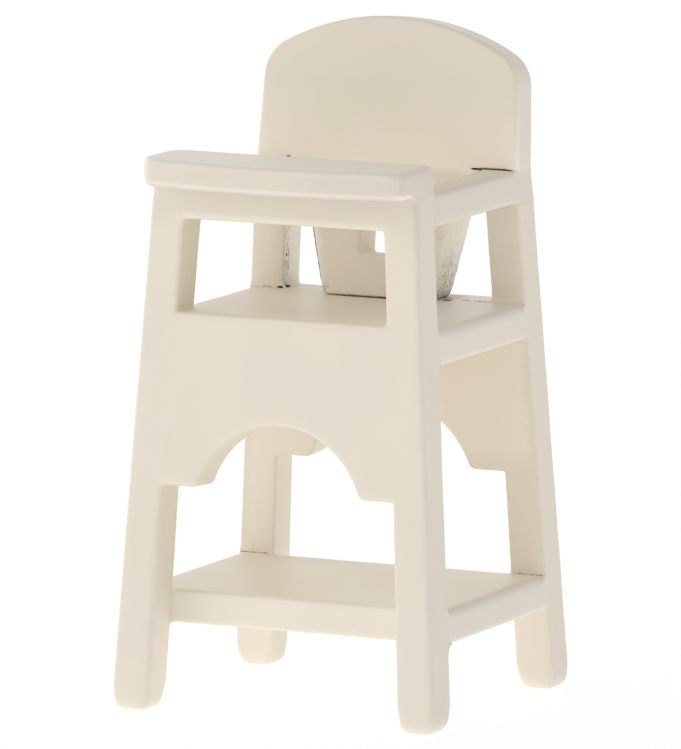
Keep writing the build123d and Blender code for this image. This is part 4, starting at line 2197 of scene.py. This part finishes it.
@dataclass(frozen=True)
class PhotoCamera:
    """The camera, where the photograph's perspective puts it. Its distance is in metres."""

    azimuth: float = 25.803
    elevation: float = 8.673
    distance: float = 1.7587
    target: tuple[float, float, float] = (-0.358, 1.959, 53.137)
    focal_pixels: float = 10827.4
    long_side_pixels: float = 749.0
    sensor: float = 36.0
    clip_start: float = 0.1
    clip_end: float = 50.0

    def aim(self) -> Vector:
        """The point that the camera looks at, in metres."""
        return Vector(self.target) * MM

    def build(self) -> None:
        """Make the scene's camera."""
        data = bpy.data.cameras.new("photo_camera")
        data.sensor_width = self.sensor
        data.lens = self.focal_pixels * self.sensor / self.long_side_pixels
        data.clip_start = self.clip_start
        data.clip_end = self.clip_end
        angles = (self.azimuth, self.elevation)
        camera = face_the_chair("photo_camera", data, *angles, self.aim(), self.distance)
        bpy.context.scene.camera = camera


@dataclass(frozen=True)
class Softbox:
    """A soft lamp that faces the chair. Its distance and size are in metres."""

    name: str
    azimuth: float
    elevation: float
    distance: float
    size: float
    watts: float
    tint: tuple[float, float, float]

    def build(self, aim: Vector) -> Object:
        """Hang the lamp.

        Args:
            aim: the point that it faces, in metres.

        Returns:
            The lamp.
        """
        data = bpy.data.lights.new(self.name, "AREA")
        data.shape = "DISK"
        data.size = self.size
        data.energy = self.watts
        data.color = self.tint
        return face_the_chair(self.name, data, self.azimuth, self.elevation, aim, self.distance)


@dataclass(frozen=True)
class Studio:
    """A pale floor, an even white surround and soft lamps."""

    floor_reach: float = 6.0
    floor_white: float = 0.6
    floor_glow: tuple[float, float, float] = (0.665, 0.675, 0.725)
    shown_white: float = 0.86
    shadow_share: float = 0.2
    surround_light: tuple[float, float, float] = (0.558, 0.56, 0.566)
    floor_cuts: int = 8
    lamps: tuple[Softbox, ...] = (
        Softbox("front_softbox", -12.0, 22.0, 1.5, 1.1, 0.9, (1.0, 0.95, 0.97)),
        Softbox("front_left_softbox", -50.0, 15.0, 1.5, 1.1, 3.0, (1.0, 1.0, 0.95)),
        Softbox("left_softbox", -110.0, 15.0, 1.5, 1.1, 6.8, (1.0, 0.93, 0.86)),
        Softbox("rear_softbox", 200.0, 25.0, 1.8, 1.2, 1.3, (0.8, 0.9, 1.0)),
    )

    def seen_directly(self, nodes: Nodes) -> Signal:
        """1 for a ray from the camera, a mirror or glass, else 0.

        Args:
            nodes: the tree.

        Returns:
            The share as a signal.
        """
        seen = nodes.add("ShaderNodeLightPath", {}, {}, "Is Camera Ray")
        for output in ("Is Glossy Ray", "Is Transmission Ray"):
            seen = seen.at_least(nodes.add("ShaderNodeLightPath", {}, {}, output))
        return seen

    def floor(self) -> Object:
        """Lay the floor, which shows white, keeps a pale shadow and throws light up at the chair.

        Returns:
            The floor.
        """
        shape = bmesh.new()
        cuts = self.floor_cuts
        bmesh.ops.create_grid(shape, x_segments=cuts, y_segments=cuts, size=self.floor_reach)
        piece = object_from("studio_floor", shape)
        material, nodes = new_material("studio_floor")
        white = (self.shown_white, self.shown_white, self.shown_white)
        shaders = []
        for share, shown in ((self.floor_white, self.floor_glow), (self.shadow_share, white)):
            plain = nodes.add("ShaderNodeBsdfDiffuse", {}, {"Color": (share, share, share, 1.0)})
            glow = nodes.add("ShaderNodeEmission", {}, {"Color": (*shown, 1.0)})
            shaders.append(nodes.add("ShaderNodeAddShader", {}, {0: plain, 1: glow}))
        values = {0: self.seen_directly(nodes), 1: shaders[0], 2: shaders[1]}
        surface = nodes.add("ShaderNodeMixShader", {}, values)
        nodes.add("ShaderNodeOutputMaterial", {}, {"Surface": surface})
        piece.data.materials.append(material)
        return piece

    def surround(self) -> None:
        """Light the chair evenly from around it."""
        world = bpy.data.worlds.new("studio_surround")
        world.use_nodes = True
        nodes = Nodes(world.node_tree)
        colour = nodes.mix(self.seen_directly(nodes), (*self.surround_light, 1.0), (1.0, 1.0, 1.0, 1.0))
        background = nodes.add("ShaderNodeBackground", {}, {"Color": colour})
        nodes.add("ShaderNodeOutputWorld", {}, {"Surface": background})
        bpy.context.scene.world = world

    def build(self, aim: Vector) -> None:
        """Set the studio up round a point of the chair.

        Args:
            aim: the point that the lamps face, in metres.
        """
        self.floor()
        self.surround()
        for lamp in self.lamps:
            lamp.build(aim)


def main() -> None:
    """Build the chair's looks and the studio around them."""
    logging.basicConfig(level=logging.INFO, format="%(message)s")
    bpy.context.scene.view_settings.view_transform = "Standard"
    chair = Carcase.from_frame()
    boards = [
        FrontPanel(chair),
        RearPanel(chair),
        SeatBoard(chair, top=chair.seat_top),
        FootShelf(chair, top=chair.shelf_top),
        Armrest(chair, name="left_armrest_painted", node="left_armrest", side=-1),
        Armrest(chair, name="right_armrest_painted", node="right_armrest", side=1),
        Tray(chair),
        Backrest(chair),
    ]
    for board in boards:
        board.build()
    Joints(chair).build()
    wood = BareWood().build()
    for name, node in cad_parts.items():
        if name.endswith("_dowels"):
            node.data.materials.clear()
            node.data.materials.append(wood)
            LOG.info("%s: bare wood", name)
    camera = PhotoCamera()
    camera.build()
    Studio().build(camera.aim())


if __name__ == "__main__":
    main()
